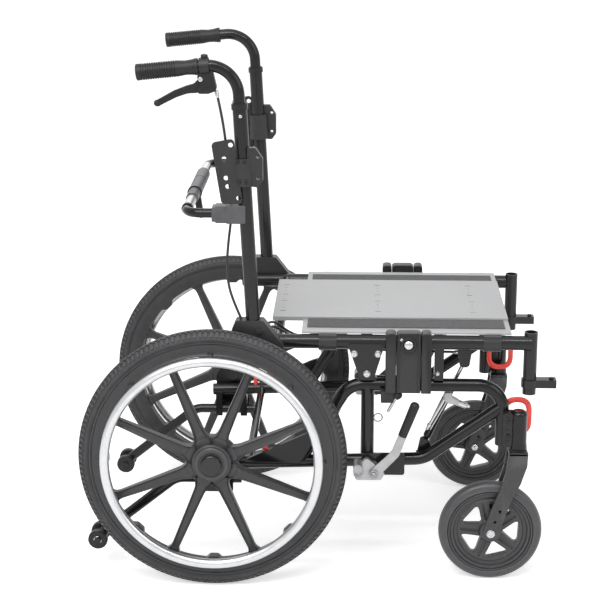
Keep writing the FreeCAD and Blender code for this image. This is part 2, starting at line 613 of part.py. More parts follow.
def caster_housings(upper_form):
    """Swivel bearing housings with the blocks that clamp them to the front posts."""
    axis = (dim.swivelAxis, -dim.casterSpread, dim.housingBottom)
    radius = dim.housingDiameter / 2
    bore = dim.stemDiameter / 2 + dim.runningFit
    bore_top = dim.stemLength + 1
    top = dim.housingHeight
    skirt = (radius + dim.housingFlare, 0)
    waist = (radius, dim.housingFlare * 8)
    bend = dim.housingDiameter * 0.9
    housing = turned("housing", [(bore, 0), skirt, waist, (radius, top), (0, top), (0, bore_top),
                                 (bore, bore_top)], [0, 1, bend, dim.housingRound, 0, 0, 0], axis, "z")
    form = turned("housing_form", [(0, 0), skirt, waist, (radius, top), (0, top)],
                  [0, 0, bend, 0, 0], axis, "z")
    block_y = -dim.casterSpread - dim.blockWidth * 0.4
    block = box("block", (dim.swivelAxis - dim.frontPost, dim.blockWidth, top - dim.housingRound),
                (dim.frontPost, block_y, dim.housingBottom + dim.housingRound / 2))
    screws = [cylinder(f"block_screw_{number}", dim.blockScrew, dim.edgeRound,
                       (dim.frontPost + dim.blockScrew * 1.5, block_y - dim.edgeRound,
                        dim.housingBottom + top / 2 + dim.blockScrewStep * (number - 1)), "y")
              for number in range(3)]
    pair("caster_housings", housing, cut("block_coped", block, form, upper_form), *screws)


def tie_down_ring(name, ahead, height):
    """A stadium-shaped ring of round bar that stands in the XZ plane."""
    bend = (dim.loopWidth - dim.loopBar) / 2
    rise = dim.loopLength / 2 - bend - dim.loopBar / 2
    body = new_body(name, (ahead, -dim.loopSpread, height))
    path = new_sketch(body, "XZ")
    corners = [(-bend, -rise - bend), (bend, -rise - bend), (bend, rise + bend), (-bend, rise + bend)]
    edges = outline(path, corners, [bend * 0.98] * 4)
    section = new_sketch(body, "XY")
    ring = section.addGeometry(Part.Circle(Vector(bend.value, 0, 0), Vector(0, 0, 1),
                                           dim.loopBar.value / 2))
    fix(section, ring, 3, (bend, 0))
    rule(section, "Radius", ring, value=dim.loopBar / 2)
    pipe = body.newObject("PartDesign::AdditivePipe", name + "_pipe")
    pipe.Profile = section
    pipe.Spine = (path, [f"Edge{number + 1}" for number in range(edges)])
    return body


def tie_downs(upper_form, lower_form):
    """Ring anchors on short bosses at the front posts, and arches welded on top of the lower tubes."""
    height = dim.receiverBottom - dim.frontLoopGap - dim.loopLength / 2
    front = tie_down_ring("front_ring", dim.frontLoopAhead, height)
    back_leg = dim.frontLoopAhead - (dim.loopWidth - dim.loopBar) / 2
    boss = cylinder("front_ring_boss", dim.frontLoopBoss, dim.sideSpread - dim.loopSpread,
                    (back_leg - dim.edgeRound, -dim.sideSpread, height), "y")
    pair("front_tie_downs", front, cut("front_boss_coped", boss, front, upper_form))
    half = (dim.loopWidth - dim.loopBar) / 2
    low, high = lower_height(dim.rearLoopAhead), dim.rearLoopTop - dim.loopBar / 2
    corners = [(dim.rearLoopAhead - half, low), (dim.rearLoopAhead - half, high),
               (dim.rearLoopAhead + half, high), (dim.rearLoopAhead + half, low)]
    arch = bent_tube("rear_arch", corners, dim.rearLoopBend, dim.loopBar,
                     (0, dim.loopInset - dim.sideSpread, 0))
    pair("rear_tie_downs", cut("rear_arch_coped", arch, lower_form))


def anti_tips(outer):
    """Arms behind the rear axle with a pair of small rollers at each end."""
    corners = [(dim.antiTipFront, dim.antiTipHeight), (dim.antiTipKnee, dim.antiTipHeight),
               (dim.rollerAhead, dim.rollerHeight)]
    side = -dim.antiTipSpread
    arm = bent_tube("anti_tip", corners, dim.antiTipBend, dim.antiTipTube, (0, side, 0), dim.frameWall)
    pin_half = dim.antiTipTube / 2 + dim.rollerGap + dim.rollerWidth + dim.edgeRound
    spot = (dim.rollerAhead, side - pin_half, dim.rollerHeight)
    pin = fuse("roller_pin", cylinder("roller_pin_shank", dim.rollerPin, pin_half * 2, spot, "y"),
               cylinder("roller_pin_head", dim.casterNut, dim.edgeRound * 1.5,
                        (spot[0], spot[1] - dim.edgeRound * 1.5, spot[2]), "y"),
               cylinder("roller_pin_nut", dim.casterNut, dim.edgeRound * 1.5,
                        (spot[0], side + pin_half, spot[2]), "y"),
               cylinder("roller_collar", dim.rollerCollar,
                        dim.antiTipTube + dim.rollerGap * 2 - dim.clearance * 1.5,
                        (spot[0], side - dim.antiTipTube / 2 - dim.rollerGap + dim.clearance * 0.75,
                         spot[2]), "y"))
    holder_length = dim.armHolderLength
    base = dim.antiTipHeight - dim.antiTipTube / 2 - dim.loopInset
    tall = lower_height(0) - base
    wide = dim.sideSpread - dim.antiTipSpread + holder_length
    holder_front = box("arm_holder_front", (holder_length, wide, tall),
                       (dim.antiTipFront - dim.armHolderInset - holder_length,
                        -dim.sideSpread - dim.edgeRound, base))
    holder_rear = box("arm_holder_rear", (holder_length, wide, tall),
                      (dim.armHolderRear, -dim.sideSpread - dim.edgeRound, base))
    arm_form = cylinder("arm_form", dim.antiTipTube, dim.antiTipFront - dim.antiTipKnee,
                        (dim.antiTipKnee, side, dim.antiTipHeight), "x")
    tube_form = bent_tube("holder_tube_form", [(dim.lowerTubeRear, dim.lowerTubeRearHeight),
                                               (dim.strutKnee, dim.strutKneeHeight)],
                          0, dim.lowerTube, (0, -dim.sideSpread, 0))
    holders = [cut(holder.Name + "_coped", holder, arm_form, tube_form)
               for holder in (holder_front, holder_rear)]
    pair("anti_tip_arms", cut("anti_tip_drilled", arm, pin), pin, *holders)
    width = dim.rollerWidth
    bore = dim.rollerPin / 2 + dim.runningFit
    for letter, offset in (("inner", dim.antiTipTube / 2 + dim.rollerGap),
                           ("outer", -dim.antiTipTube / 2 - dim.rollerGap - width)):
        spot = (dim.rollerAhead, side + offset, dim.rollerHeight)
        turned(f"roller_{letter}", ring_outline(bore, dim.rollerRadius, 0, width),
               [0, dim.rimRound, dim.rimRound, 0], spot, "y")
    both("anti_tip_rollers", document.getObject("roller_inner"), document.getObject("roller_outer"))


def pivot_lugs(upper_form, lower_form):
    """Lugs on the side frames for the tilt hinge and for the feet of the gas springs."""
    y = -dim.pivotPlateSpread + dim.clearance
    width, foot_margin = dim.pivotEyeRadius, dim.bracketMargin
    ahead, height = dim.tiltPivotAhead, dim.tiltPivotHeight
    corners = [(ahead - width - foot_margin, dim.upperTubeHeight),
               (ahead + width + foot_margin, dim.upperTubeHeight),
               (ahead + width, height + width), (ahead - width, height + width)]
    bore = [((ahead, height), dim.pivotBolt + dim.runningFit * 2)]
    lug = plate("tilt_lug", corners, [0, 0, width * 0.95, width * 0.95], dim.tiltLugThick, y, bore)
    foot_x, foot_z = dim.springFootAhead, dim.springFootHeight
    eye = dim.springEye
    half = eye + dim.lugMargin
    foot = [(foot_x - half, lower_height(foot_x) - dim.edgeRound),
            (foot_x + half, lower_height(foot_x) + dim.edgeRound * 2),
            (foot_x + eye, foot_z + eye), (foot_x - eye, foot_z + eye)]
    spring_y = -dim.springSpread - dim.springTube / 2 - dim.clearance
    foot_lug = plate("spring_lug", foot, [0, 0, eye * 0.9, eye * 0.9],
                     dim.lugThin, spring_y - dim.lugThin)
    weld = box("spring_lug_weld", (half * 2, dim.lugThin * 3, dim.lugMargin * 2),
               (foot_x - half, spring_y - dim.lugThin * 3, lower_height(foot_x) - dim.lugThin))
    shank = dim.springTube + dim.clearance * 2 + 1
    pin = fuse("spring_foot_pin",
               cylinder("spring_foot_shank", dim.springPin, shank, (foot_x, spring_y, foot_z), "y"),
               cylinder("spring_foot_head", dim.springPinHead, dim.lugThin - 1,
                        (foot_x, spring_y + shank, foot_z), "y"))
    pair("pivot_lugs", cut("tilt_lug_coped", lug, upper_form),
         cut("spring_lug_coped", fuse("spring_lug_whole", foot_lug, weld), lower_form), pin)


def wheel_locks():
    """Push-to-lock toggles: a body on a stand, a lever with its grip, and a roller arm at the tyre."""
    y = -dim.lockSpread
    half = dim.lockThick / 2
    rear, front = dim.lockBodyRear, dim.lockBodyRear + dim.lockBodyLength
    bottom, top = dim.lockBodyBottom, dim.lockBodyBottom + dim.lockBodyHeight
    corners = [(rear + 6, bottom), (front - 8, bottom), (front, bottom + 14), (front - 24, top - 10),
               (front - 36, top), (rear + 14, top - 14), (rear, bottom + 22)]
    lever_pivot = (dim.leverPivotAhead, dim.leverPivotHeight)
    shoe_pivot = (dim.shoePivotAhead, dim.shoePivotHeight)
    holes = [(lever_pivot, dim.lockPin), (shoe_pivot, dim.lockPin)]
    body = plate("lock_body", corners, [5, 6, 6, 10, 6, 8, 6], dim.lockThick, y - half, holes)
    inner = -dim.sideSpread - dim.frameTube / 2 - dim.plateThick
    stand_spot = (dim.gussetRear + dim.lockStand * 1.3, y + half, dim.lockBodyBottom + dim.lockStand * 1.2)
    stand = cylinder("lock_stand", dim.lockStand, inner - (y + half), stand_spot, "y")
    out = dim.lockThick + dim.leverThick * 2
    studs = [cylinder(f"lock_pin_{number}", dim.lockPin, out, (spot[0], y + half - out, spot[1]), "y")
             for number, spot in enumerate((lever_pivot, shoe_pivot))]
    pair("wheel_lock_bodies", body, stand, *studs)

    lever_y = y - half - dim.clearance - dim.leverThick
    running = dim.lockPin + dim.runningFit * 2
    wide = dim.leverWidth
    grip_run, grip_rise = dim.gripTopAhead - dim.leverNeckAhead, dim.gripTopHeight - dim.leverNeckHeight
    tip = (dim.leverNeckAhead + grip_run * 0.8, dim.leverNeckHeight + grip_rise * 0.8)
    corners = [(lever_pivot[0] + wide * 0.1, lever_pivot[1] - wide * 0.75),
               (dim.leverElbowAhead + wide * 0.43, dim.leverElbowHeight - wide * 0.25),
               (dim.leverNeckAhead + wide * 0.46, dim.leverNeckHeight - wide * 0.18),
               (tip[0] + wide * 0.25, tip[1]), (tip[0] - wide * 0.25, tip[1] + wide * 0.1),
               (dim.leverNeckAhead - wide * 0.4, dim.leverNeckHeight + wide * 0.18),
               (dim.leverElbowAhead - wide * 0.43, dim.leverElbowHeight + wide * 0.25),
               (lever_pivot[0] - wide * 0.75, lever_pivot[1] + wide * 0.1)]
    lever = plate("lock_lever", corners, [7, 24, 0, 2, 2, 0, 24, 7], dim.leverThick, lever_y,
                  [(lever_pivot, running)])
    both("lock_lever", lever)
    middle = (dim.leverNeckAhead, lever_y + dim.leverThick / 2, dim.leverNeckHeight)
    length = reach(grip_run, grip_rise)
    radius = dim.gripDiameter / 2
    grip = turned("lock_grip", [(0, 0), (radius - 1, 0), (radius, length), (0, length)],
                  [0, dim.edgeRound, radius * 0.84, 0], middle, bearing(grip_run, grip_rise))
    both("lock_grip", cut("lock_grip_hollow", grip, lever))

    roller_x, roller_z = dim.shoeRollerAhead, dim.shoeRollerHeight
    arm_corners = [(shoe_pivot[0] - 9, shoe_pivot[1] - 9), (shoe_pivot[0] + 9, shoe_pivot[1] - 9),
                   (roller_x + 8, roller_z + 6), (roller_x - 8, roller_z + 6)]
    arm = plate("shoe_arm", arm_corners, [7, 7, 6, 6], dim.leverThick, lever_y, [(shoe_pivot, running)])
    roller = cylinder("shoe_roller", dim.shoeRollerDiameter, dim.tyreWidth + 2,
                      (roller_x, lever_y + dim.clearance, roller_z), "-y")
    both("lock_shoe", fuse("shoe_whole", arm, roller))


def gas_springs():
    """Locking gas springs between the side frames' struts and brackets under the seat rails."""
    y = -dim.springSpread
    run, rise = dim.springHeadAhead - dim.springFootAhead, dim.springHeadHeight - dim.springFootHeight
    lean, span = bearing(run, rise), reach(run, rise)
    foot = (dim.springFootAhead, y, dim.springFootHeight)
    head = (dim.springHeadAhead, y, dim.springHeadHeight)
    radius, rod_radius, eye = dim.springTube / 2, dim.springRod / 2, dim.springEye
    bore = rod_radius + dim.runningFit
    top = eye + dim.springTubeLength
    neck = radius - 2
    barrel = turned("barrel", [(0, neck), (neck, neck), (neck, eye + 2), (radius, eye + 5), (radius, top),
                               (bore, top), (bore, eye + 14), (0, eye + 14)],
                    [0, 0, 0, 2, 2, 0, 0, 0], foot, lean)
    eye_form = cylinder("barrel_eye", eye * 2, dim.springTube, (foot[0], y - radius, foot[2]), "y")
    hole = cylinder("barrel_hole", dim.springPin + dim.runningFit * 2, dim.springTube,
                    (foot[0], y - radius, foot[2]), "y")
    pair("gas_spring_barrels", cut("barrel_whole", fuse("barrel_and_eye", barrel, eye_form), hole))
    rod = turned("rod", [(0, eye + 20), (rod_radius, eye + 20), (rod_radius, span - eye + 2),
                         (0, span - eye + 2)], [0, 0.5, 0, 0], foot, lean)
    head_half = dim.springHeadEyeWidth / 2
    head_eye = cylinder("rod_eye", eye * 2, head_half * 2, (head[0], y - head_half, head[2]), "y")
    slack = cylinder("rod_eye_hole", dim.springPin + dim.eyeSlack * 2, head_half * 2,
                     (head[0], y - head_half, head[2]), "y")
    pair("gas_spring_rods", cut("rod_whole", fuse("rod_and_eye", rod, head_eye), slack))
    return head, head_half


def seat_frame():
    """Seat rails, their cross tubes, and what hangs on them."""
    y, height = -dim.railSpread, dim.railHeight
    length = dim.receiverAhead - dim.railRear
    form = cylinder("rail_form", dim.railTube, length, (dim.railRear, y, height), "x")
    bore = cylinder("rail_bore", dim.railTube - dim.frameWall * 2, length, (dim.railRear, y, height), "x")
    receiver_spot = (dim.receiverAhead, -dim.receiverSpread, dim.receiverBottom)
    receiver_length = dim.receiverTop - dim.receiverBottom
    receiver = cylinder("receiver_form", dim.receiverTube, receiver_length, receiver_spot)
    receiver_bore = cylinder("receiver_bore", dim.receiverTube - dim.receiverWall * 2, receiver_length,
                             receiver_spot)
    radius = dim.railTube / 2
    cap = turned("rail_cap", [(0, 0), (radius, 0), (radius, dim.plateRound), (0, dim.plateRound)],
                 [0, 0, dim.plateRound * 0.8, 0], (dim.railRear, y, height), Size(180.0, "180"))
    pair("seat_rails", cut("rail_coped", form, bore, receiver), cap)

    crosses = [cylinder(f"seat_cross_{number}", dim.seatCrossTube, dim.railSpread * 2, (x, y, height), "y")
               for number, x in enumerate((dim.seatCrossRear, dim.seatCrossFront))]
    node("seat_cross_tubes", *[cut(cross.Name + "_coped", cross, form, mirror(form)) for cross in crosses])

    lug_z = dim.lugHeight
    front = dim.receiverAhead + dim.lugLength
    arm = box("lug_arm", (dim.lugLength, dim.lugWidth, dim.lugThick),
              (dim.receiverAhead, -dim.receiverSpread - dim.lugWidth / 2, lug_z))
    ring = cylinder("lug_ring", dim.receiverTube + dim.lugRingWall * 2, dim.lugThick,
                    (dim.receiverAhead, -dim.receiverSpread, lug_z))
    lug = fuse("lug", arm, ring)
    stud = cylinder("lug_stud", dim.lugStud, dim.lugStud / 3,
                    (front - dim.lugStud, -dim.receiverSpread, lug_z + dim.lugThick))
    pair("legrest_receivers", cut("receiver", receiver, receiver_bore),
         cut("lug_coped", lug, receiver), stud)

    out = -dim.pivotPlateSpread - dim.pivotPlateThick
    pivot = (dim.tiltPivotAhead, dim.tiltPivotHeight)
    eye = dim.pivotEyeRadius
    edge, bend = dim.pivotBoltAhead - dim.pivotBoltMargin, dim.pivotPlateRound
    corners = [(edge, height), (edge + dim.pivotBoltStep + dim.pivotBoltMargin * 2, height),
               (pivot[0] + eye, pivot[1] - eye * 0.9), (pivot[0] - eye, pivot[1] - eye * 0.9)]
    swing = plate("pivot_plate", corners, [bend, bend, eye * 0.95, eye * 0.95], dim.pivotPlateThick, out,
                  [(pivot, dim.pivotBolt + dim.boltFit)])
    stop_bottom = dim.upperTubeHeight + dim.frameTube / 2 + dim.clearance
    stop_y = y - dim.railTube / 2
    stop = box("stop", (dim.stopWidth, dim.stopThick, height - stop_bottom),
               (dim.stopAhead, stop_y, stop_bottom))
    pair("pivot_plates", cut("pivot_plate_coped", swing, form))
    pair("stop_straps", cut("stop_coped", stop, form))
    head, head_y = dim.pivotHeadThick, out - dim.pivotHeadThick
    heads = [cylinder(f"plate_screw_{number}", dim.pivotHead, head,
                      (dim.pivotBoltAhead + dim.pivotBoltStep * number, head_y, dim.pivotBoltHeight), "y")
             for number in range(2)]
    shank = cylinder("tilt_bolt_shank", dim.pivotBolt, head + dim.pivotPlateThick + dim.tiltLugThick + 2,
                     (pivot[0], head_y, pivot[1]), "y")
    bolt_head = cylinder("tilt_bolt_head", dim.pivotHead, head, (pivot[0], head_y, pivot[1]), "y")
    stop_screw = cylinder("stop_screw", dim.smallHead, dim.smallHeadThick,
                          (dim.stopAhead + dim.stopWidth / 3, stop_y - dim.smallHeadThick,
                           stop_bottom + dim.stopScrewRise), "y")
    pair("seat_screws", *heads, fuse("tilt_bolt", shank, bolt_head), stop_screw)
    return form


def spring_brackets(form, head, head_half):
    """Brackets under the seat rails whose pins pass through the gas springs' upper eyes."""
    out = head[1] - head_half - dim.clearance - dim.lugThin
    eye = dim.springEye
    wide = eye + dim.bracketMargin
    corners = [(head[0] - wide, dim.railHeight), (head[0] + wide, dim.railHeight),
               (head[0] + eye, head[2] - eye), (head[0] - eye, head[2] - eye)]
    bracket = plate("spring_bracket", corners, [0, 0, eye * 0.9, eye * 0.9], dim.lugThin, out)
    shank = head_half * 2 + dim.clearance * 2 + 1
    pin = cylinder("spring_head_pin", dim.springPin, shank, (head[0], out + dim.lugThin, head[2]), "y")
    end = cylinder("spring_head_cap", dim.springPinHead, dim.lugThin / 2,
                   (head[0], out + dim.lugThin + shank, head[2]), "y")
    release = box("release_head", (dim.releaseLength, dim.releaseWidth, dim.releaseHeight),
                  (head[0] - dim.releaseLength / 2, out + dim.lugThin, head[2] + eye + dim.lugThin - 1))
    pair("spring_brackets", fuse("bracket_whole", cut("bracket_coped", bracket, form), pin, end), release)


def seat_pan(form):
    """A folded sheet: a raised middle panel and a lower flange on each side, with slot rows."""
    thick, middle, wide = dim.panThick, dim.panCentreHalfWidth, dim.panHalfWidth
    rise, flange = dim.panRise, dim.flangeTop
    pan = new_body("pan")
    section = new_sketch(pan, "YZ", dim.panRear)
    right = [(middle - thick, rise - thick), (middle - thick, flange - thick), (wide, flange - thick),
             (wide, flange), (middle, flange), (middle, rise)]
    left = [(-across, height) for across, height in reversed(right)]
    outline(section, right + left, [0] * 12)
    sheet_pad = pan.newObject("PartDesign::Pad", "sheet_pad")
    sheet_pad.Profile = section
    sheet_pad.setExpression("Length", (dim.panFront - dim.panRear).text)
    notch_length = dim.flangeRear - dim.panRear
    notch = box("flange_notch", (notch_length, wide - middle, 20), (dim.panRear, middle, flange - 10))
    tools = [notch, mirror(notch)]
    middle_low = rise - thick
    for row in range(int(dim.slotRows.value)):
        x = dim.slotRowStart + dim.slotRowRun * row / (dim.slotRows - 1)
        for side, spot in enumerate((dim.slotSpread, dim.slotInner)):
            slot = box(f"slot_{row}_{side}", (dim.slotLength, dim.slotWidth, thick * 3),
                       (x - dim.slotLength / 2, spot - dim.slotWidth / 2, middle_low - thick))
            tools += [slot, mirror(slot)]
        for side, spot in enumerate((dim.holeOuter, dim.holeInner)):
            hole = cylinder(f"hole_{row}_{side}", dim.holeDiameter, thick * 3, (x, spot, middle_low - thick))
            tools += [hole, mirror(hole)]
    node("seat_pan", cut("pan_cut", pan, *tools))

    strip_length = dim.panFront - dim.flangeRear - dim.stripInset * 2
    strip = box("strip", (strip_length, dim.stripWidth, dim.stripThick),
                (dim.flangeRear + dim.stripInset, -middle - dim.stripWidth, flange))
    pair("side_strips", strip)

    wall, length = dim.saddleWall, dim.saddleLength
    y, height = -dim.railSpread, dim.railHeight
    saddles = []
    for name, x in (("rear", dim.saddleRear), ("front", dim.saddleFront)):
        ring = cylinder(f"saddle_ring_{name}", dim.railTube + wall * 2, length, (x - length / 2, y, height),
                        "x")
        seat = box(f"saddle_seat_{name}", (length, dim.railTube, flange - thick - height),
                   (x - length / 2, y - dim.railTube / 2, height))
        above = box(f"saddle_above_{name}", (length, dim.railTube * 2, wall * 3),
                    (x - length / 2, y - dim.railTube, flange - thick))
        saddles.append(cut(f"saddle_{name}", fuse(f"saddle_solid_{name}", ring, seat), form, above))
    pair("pan_saddles", *saddles)


def armrest_receivers(form):
    """Sockets outboard of the rails for the armrest bars, with sprung lock buttons."""
    outer, inner = -dim.armInner - dim.armThick, -dim.armInner
    wall = dim.armWall
    shell = box("arm_shell", (dim.armLength, dim.armThick, dim.armHeight),
                (dim.armAhead, outer, dim.armBottom))
    middle = dim.armAhead + dim.armLength / 2
    socket = box("arm_socket", (dim.armBarLength, dim.armThick - wall * 2, dim.armHeight),
                 (middle - dim.armBarLength / 2, outer + wall, dim.armBottom + wall))
    hole = cylinder("button_hole", dim.buttonDiameter + dim.runningFit * 2, wall + 2,
                    (dim.buttonAhead, outer - 1, dim.buttonHeight), "y")
    inset = dim.armGrooveInset
    grooves = [box(f"arm_groove_{number}", (dim.armGrooveWidth, dim.armGrooveDepth, dim.armHeight),
                   (dim.armAhead + offset, outer, dim.armBottom))
               for number, offset in enumerate((inset, dim.armLength - inset - dim.armGrooveWidth))]
    mount_inset, edge = dim.armMountInset, dim.edgeRound
    mount = box("arm_mount", (dim.armLength - mount_inset * 2, dim.railTube / 2, dim.railTube - edge * 2),
                (dim.armAhead + mount_inset, inner, dim.railHeight - dim.railTube / 2 + edge))
    foot = box("arm_foot", (dim.armFootLength, dim.armFootWidth, dim.armFootHeight),
               (dim.armAhead - dim.armFootReach, inner - dim.armFootWidth, dim.armBottom - dim.armFootHeight))
    shell_cut = cut("arm_shell_cut", shell, socket, hole, *grooves)
    pair("armrest_receivers", shell_cut, cut("arm_mount_cut", mount, form), foot)
    radius = dim.buttonDiameter / 2
    face = wall + dim.buttonProud
    button = turned("button", [(0, 0), (radius, 0), (radius, wall + edge), (radius - 1, face), (0, face)],
                    [0, 0, 0, dim.buttonRound, 0],
                    (dim.buttonAhead, outer + wall, dim.buttonHeight), "-y")
    both("armrest_button", button)


def cane_ahead(height):
    """How far forward the cane's middle is at a height."""
    return dim.caneFootAhead - (height - dim.caneFootHeight) * sine(dim.caneLean) / cosine(dim.caneLean)


def back(form):
    """Back canes in brackets on the seat rails, with push handles, clamps and a rear bar."""
    y = -dim.caneSpread
    lean = 90 + dim.caneLean
    foot = (dim.caneFootAhead, y, dim.caneFootHeight)
    length = (dim.caneTopHeight - dim.caneFootHeight) / cosine(dim.caneLean)
    cane_form = cylinder("cane_form", dim.caneTube, length, foot, lean)
    cane_bore = cylinder("cane_bore", dim.caneTube - dim.caneWall * 2, length, foot, lean)
    collar_foot = dim.caneTopHeight - dim.caneCollarHeight - dim.edgeRound
    collar = cylinder("top_collar", dim.caneTube + dim.caneCollarRise * 2, dim.caneCollarHeight,
                      (cane_ahead(collar_foot), y, collar_foot), lean)
    pair("back_canes", cut("cane", cane_form, cane_bore), cut("top_collar_cut", collar, cane_form))

    bracket_y = y - dim.caneBracketThick / 2
    bend, head = dim.plateRound, dim.pivotHeadThick
    block = plate("cane_block", shift((foot[0], foot[2]), caneBlock), [bend] * 6 + [bend * 2],
                  dim.caneBracketThick, bracket_y)
    bolts = [cylinder(f"cane_bolt_{number}", dim.caneBolt, head,
                      (foot[0] + ahead, bracket_y - head, foot[2] + dim.caneBoltRise), "y")
             for number, ahead in enumerate(caneBolts)]
    pair("cane_brackets", cut("cane_block_cut", block, form, cane_form), *bolts)

    slope = 180 + dim.gripDrop
    crest_height = dim.caneTopHeight + dim.gripCrestRise
    crest = (cane_ahead(crest_height), crest_height)
    fall = sine(dim.gripDrop) / cosine(dim.gripDrop)

    def grip_height(x):
        return crest[1] - (crest[0] - x) * fall

    root = dim.caneTopHeight - dim.handleSink
    tube_end = dim.gripRearAhead + dim.handleEndGap
    corners = [(cane_ahead(root), root), crest, (tube_end, grip_height(tube_end))]
    handle = bent_tube("handle", corners, dim.handleBend, dim.handleTube, (0, y, 0), dim.caneWall)
    handle_form = bent_tube("handle_form", corners, dim.handleBend, dim.handleTube, (0, y, 0))
    pair("handle_tubes", handle)
    front = dim.gripFrontAhead
    grip_length = (front - dim.gripRearAhead) / cosine(dim.gripDrop)
    grip_radius, tube_radius = dim.handGripDiameter / 2, dim.handleTube / 2
    waist, flare, end = grip_radius - dim.gripWaist, dim.gripWaist * 6, grip_length - dim.gripEndThick
    grip = turned("hand_grip", [(tube_radius, 0), (grip_radius, 0), (waist, flare),
                                (waist, grip_length - flare), (grip_radius, grip_length - flare / 2),
                                (grip_radius, grip_length), (0, grip_length), (0, end), (tube_radius, end)],
                  [0, 1, flare / 2, flare / 2, 1, 3, 0, 0, 0], (front, y, grip_height(front)), slope)
    pair("hand_grips", grip)

    collar_height = dim.caneTopHeight - dim.collarDrop
    clamp_foot = (cane_ahead(collar_height), collar_height)
    clamp = cylinder("clamp", dim.collarDiameter, dim.collarHeight, (clamp_foot[0], y, collar_height), lean)
    rear_holes = [(hole, dim.plateHole) for hole in shift(clamp_foot, clampHoles)]
    rear_plate = plate("rear_plate", shift(clamp_foot, clampPlate), [bend * 1.6] * 4, dim.rearPlateThick,
                       y - dim.collarDiameter / 2 + dim.loopInset, rear_holes)
    front_holes = [(hole, dim.plateHole * 0.7) for hole in shift(clamp_foot, clampBlockHoles)]
    front_plate = plate("front_plate", shift(clamp_foot, clampBlock), [2, bend, bend, bend, bend, 2],
                        dim.frontPlateThick, y - dim.frontPlateThick + 1, front_holes)
    pair("back_plates", cut("clamp_cut", clamp, cane_form),
         cut("rear_plate_cut", rear_plate, clamp), cut("front_plate_cut", front_plate, clamp, cane_form))

    bar_end = dim.sleeveRear + dim.barSleeveWall * 2
    bar_path = [(bar_end, y), (dim.barReach, y), (dim.barReach, -y), (bar_end, -y)]
    bar = bent_tube("bar", bar_path, dim.barBend, dim.barTube, (0, 0, dim.barHeight), plane="XY")
    bar_form = cylinder("bar_form", dim.barTube, bar_end - dim.barReach,
                        (dim.barReach, y, dim.barHeight), "x")
    sleeve = box("sleeve", (dim.sleeveFront - dim.sleeveRear, dim.sleeveWidth, dim.sleeveHeight),
                 (dim.sleeveRear, y - dim.sleeveWidth / 2, dim.barHeight - dim.sleeveHeight / 2))
    soft = cut("bar_sleeve_cut", cylinder("bar_sleeve", dim.barTube + dim.barSleeveWall * 2, dim.caneSpread,
                                          (dim.barReach, -dim.caneSpread / 2, dim.barHeight), "y"),
               cylinder("bar_across", dim.barTube, dim.caneSpread, (dim.barReach, -dim.caneSpread / 2,
                                                                    dim.barHeight), "y"))
    sleeve_cut = cut("sleeve_cut", sleeve, cane_form, bar_form)
    node("rear_bar", bar)
    node("rear_bar_clamps", sleeve_cut, mirror(sleeve_cut), soft)
    return grip_height, slope, handle_form, crest_height


def tilt_trigger(grip_height, slope, handle_form, crest_height):
    """The hand lever under the right grip that releases the gas springs, in its clamp."""
    y = -dim.caneSpread
    half = dim.triggerThick / 2 + dim.clearance
    thick, bend = dim.cheekThick, dim.plateRound
    spot = (dim.triggerPivotAhead, crest_height - dim.triggerPivotDrop)
    cheeks = [plate(f"cheek_{side}", shift(spot, cheek), [bend * 0.6] * 2 + [bend] * 3, thick, start,
                    [(spot, dim.triggerPin)])
              for side, start in (("outer", y - half - thick), ("inner", y + half))]
    ring_length, knob_size = dim.triggerRingLength, dim.triggerKnob
    middle = dim.gripFrontAhead + ring_length + 1
    ring = cylinder("trigger_ring", dim.handleTube + dim.triggerRingWall * 2, ring_length,
                    (middle, y, grip_height(middle)), slope)
    knob = cylinder("trigger_knob", knob_size, knob_size,
                    (middle - ring_length / 2, y, grip_height(middle) + dim.handleTube / 2 + 1))
    stop_size = thick * 4
    stop = box("trigger_stop", (stop_size, half * 2, stop_size),
               (spot[0] + stop_size, y - half, spot[1] - dim.handleTube))
    clamp = cut("clamp_whole", fuse("trigger_solid", *cheeks, ring, knob, stop), handle_form)
    pin_y = y - half - thick - 1
    pin = cylinder("trigger_pin", dim.triggerPin, (half + thick + 1) * 2, (spot[0], pin_y, spot[1]), "y")
    node("trigger_clamp", clamp, pin)
    tip = (dim.triggerTipAhead, crest_height - dim.triggerTipDrop)
    corners = shift(spot, leverRoot) + shift(tip, leverTip) + shift(spot, leverBack)
    lever = plate("release_lever", corners, [5, 5, 60, 3, 3, 3, 40, 6], dim.triggerThick,
                  y - dim.triggerThick / 2, [(spot, dim.triggerPin + dim.runningFit * 2)])
    node("trigger_lever", lever)


def smooth_path(points):
    """Straight runs joined by tangent arcs, each as large as its two runs allow."""
    edges = []
    start = points[0]
    radii = []
    for before, corner, after in zip(points, points[1:], points[2:]):
        back, ahead = (before - corner).normalize(), (after - corner).normalize()
        half = back.getAngle(ahead) / 2
        run = 0.45 * min((before - corner).Length, (after - corner).Length)
        radii.append(run * math.tan(half))
        centre = corner + (back + ahead).normalize() * (radii[-1] / math.sin(half))
        arrive, leave = corner + back * run, corner + ahead * run
        middle = centre + (corner - centre).normalize() * radii[-1]
        edges += [Part.LineSegment(start, arrive).toShape(), Part.Arc(arrive, middle, leave).toShape()]
        start = leave
    edges.append(Part.LineSegment(start, points[-1]).toShape())
    print("bend radii", [round(radius) for radius in radii])
    return Part.Wire(edges)


def cable(name, points):
    """A round cable that the frame holds all along its route."""
    spots = [Vector(*point) for point in points]
    path = smooth_path(spots)
    circle = Part.Circle(spots[0], spots[1] - spots[0], dim.cableDiameter.value / 2)
    piece = document.addObject("Part::Feature", name)
    piece.Shape = path.makePipeShell([Part.Wire(circle.toShape())], True, False)
    area = math.pi * dim.cableDiameter.value ** 2 / 4
    print(name, "volume ratio", round(piece.Shape.Volume / (area * path.Length), 4))
    return piece


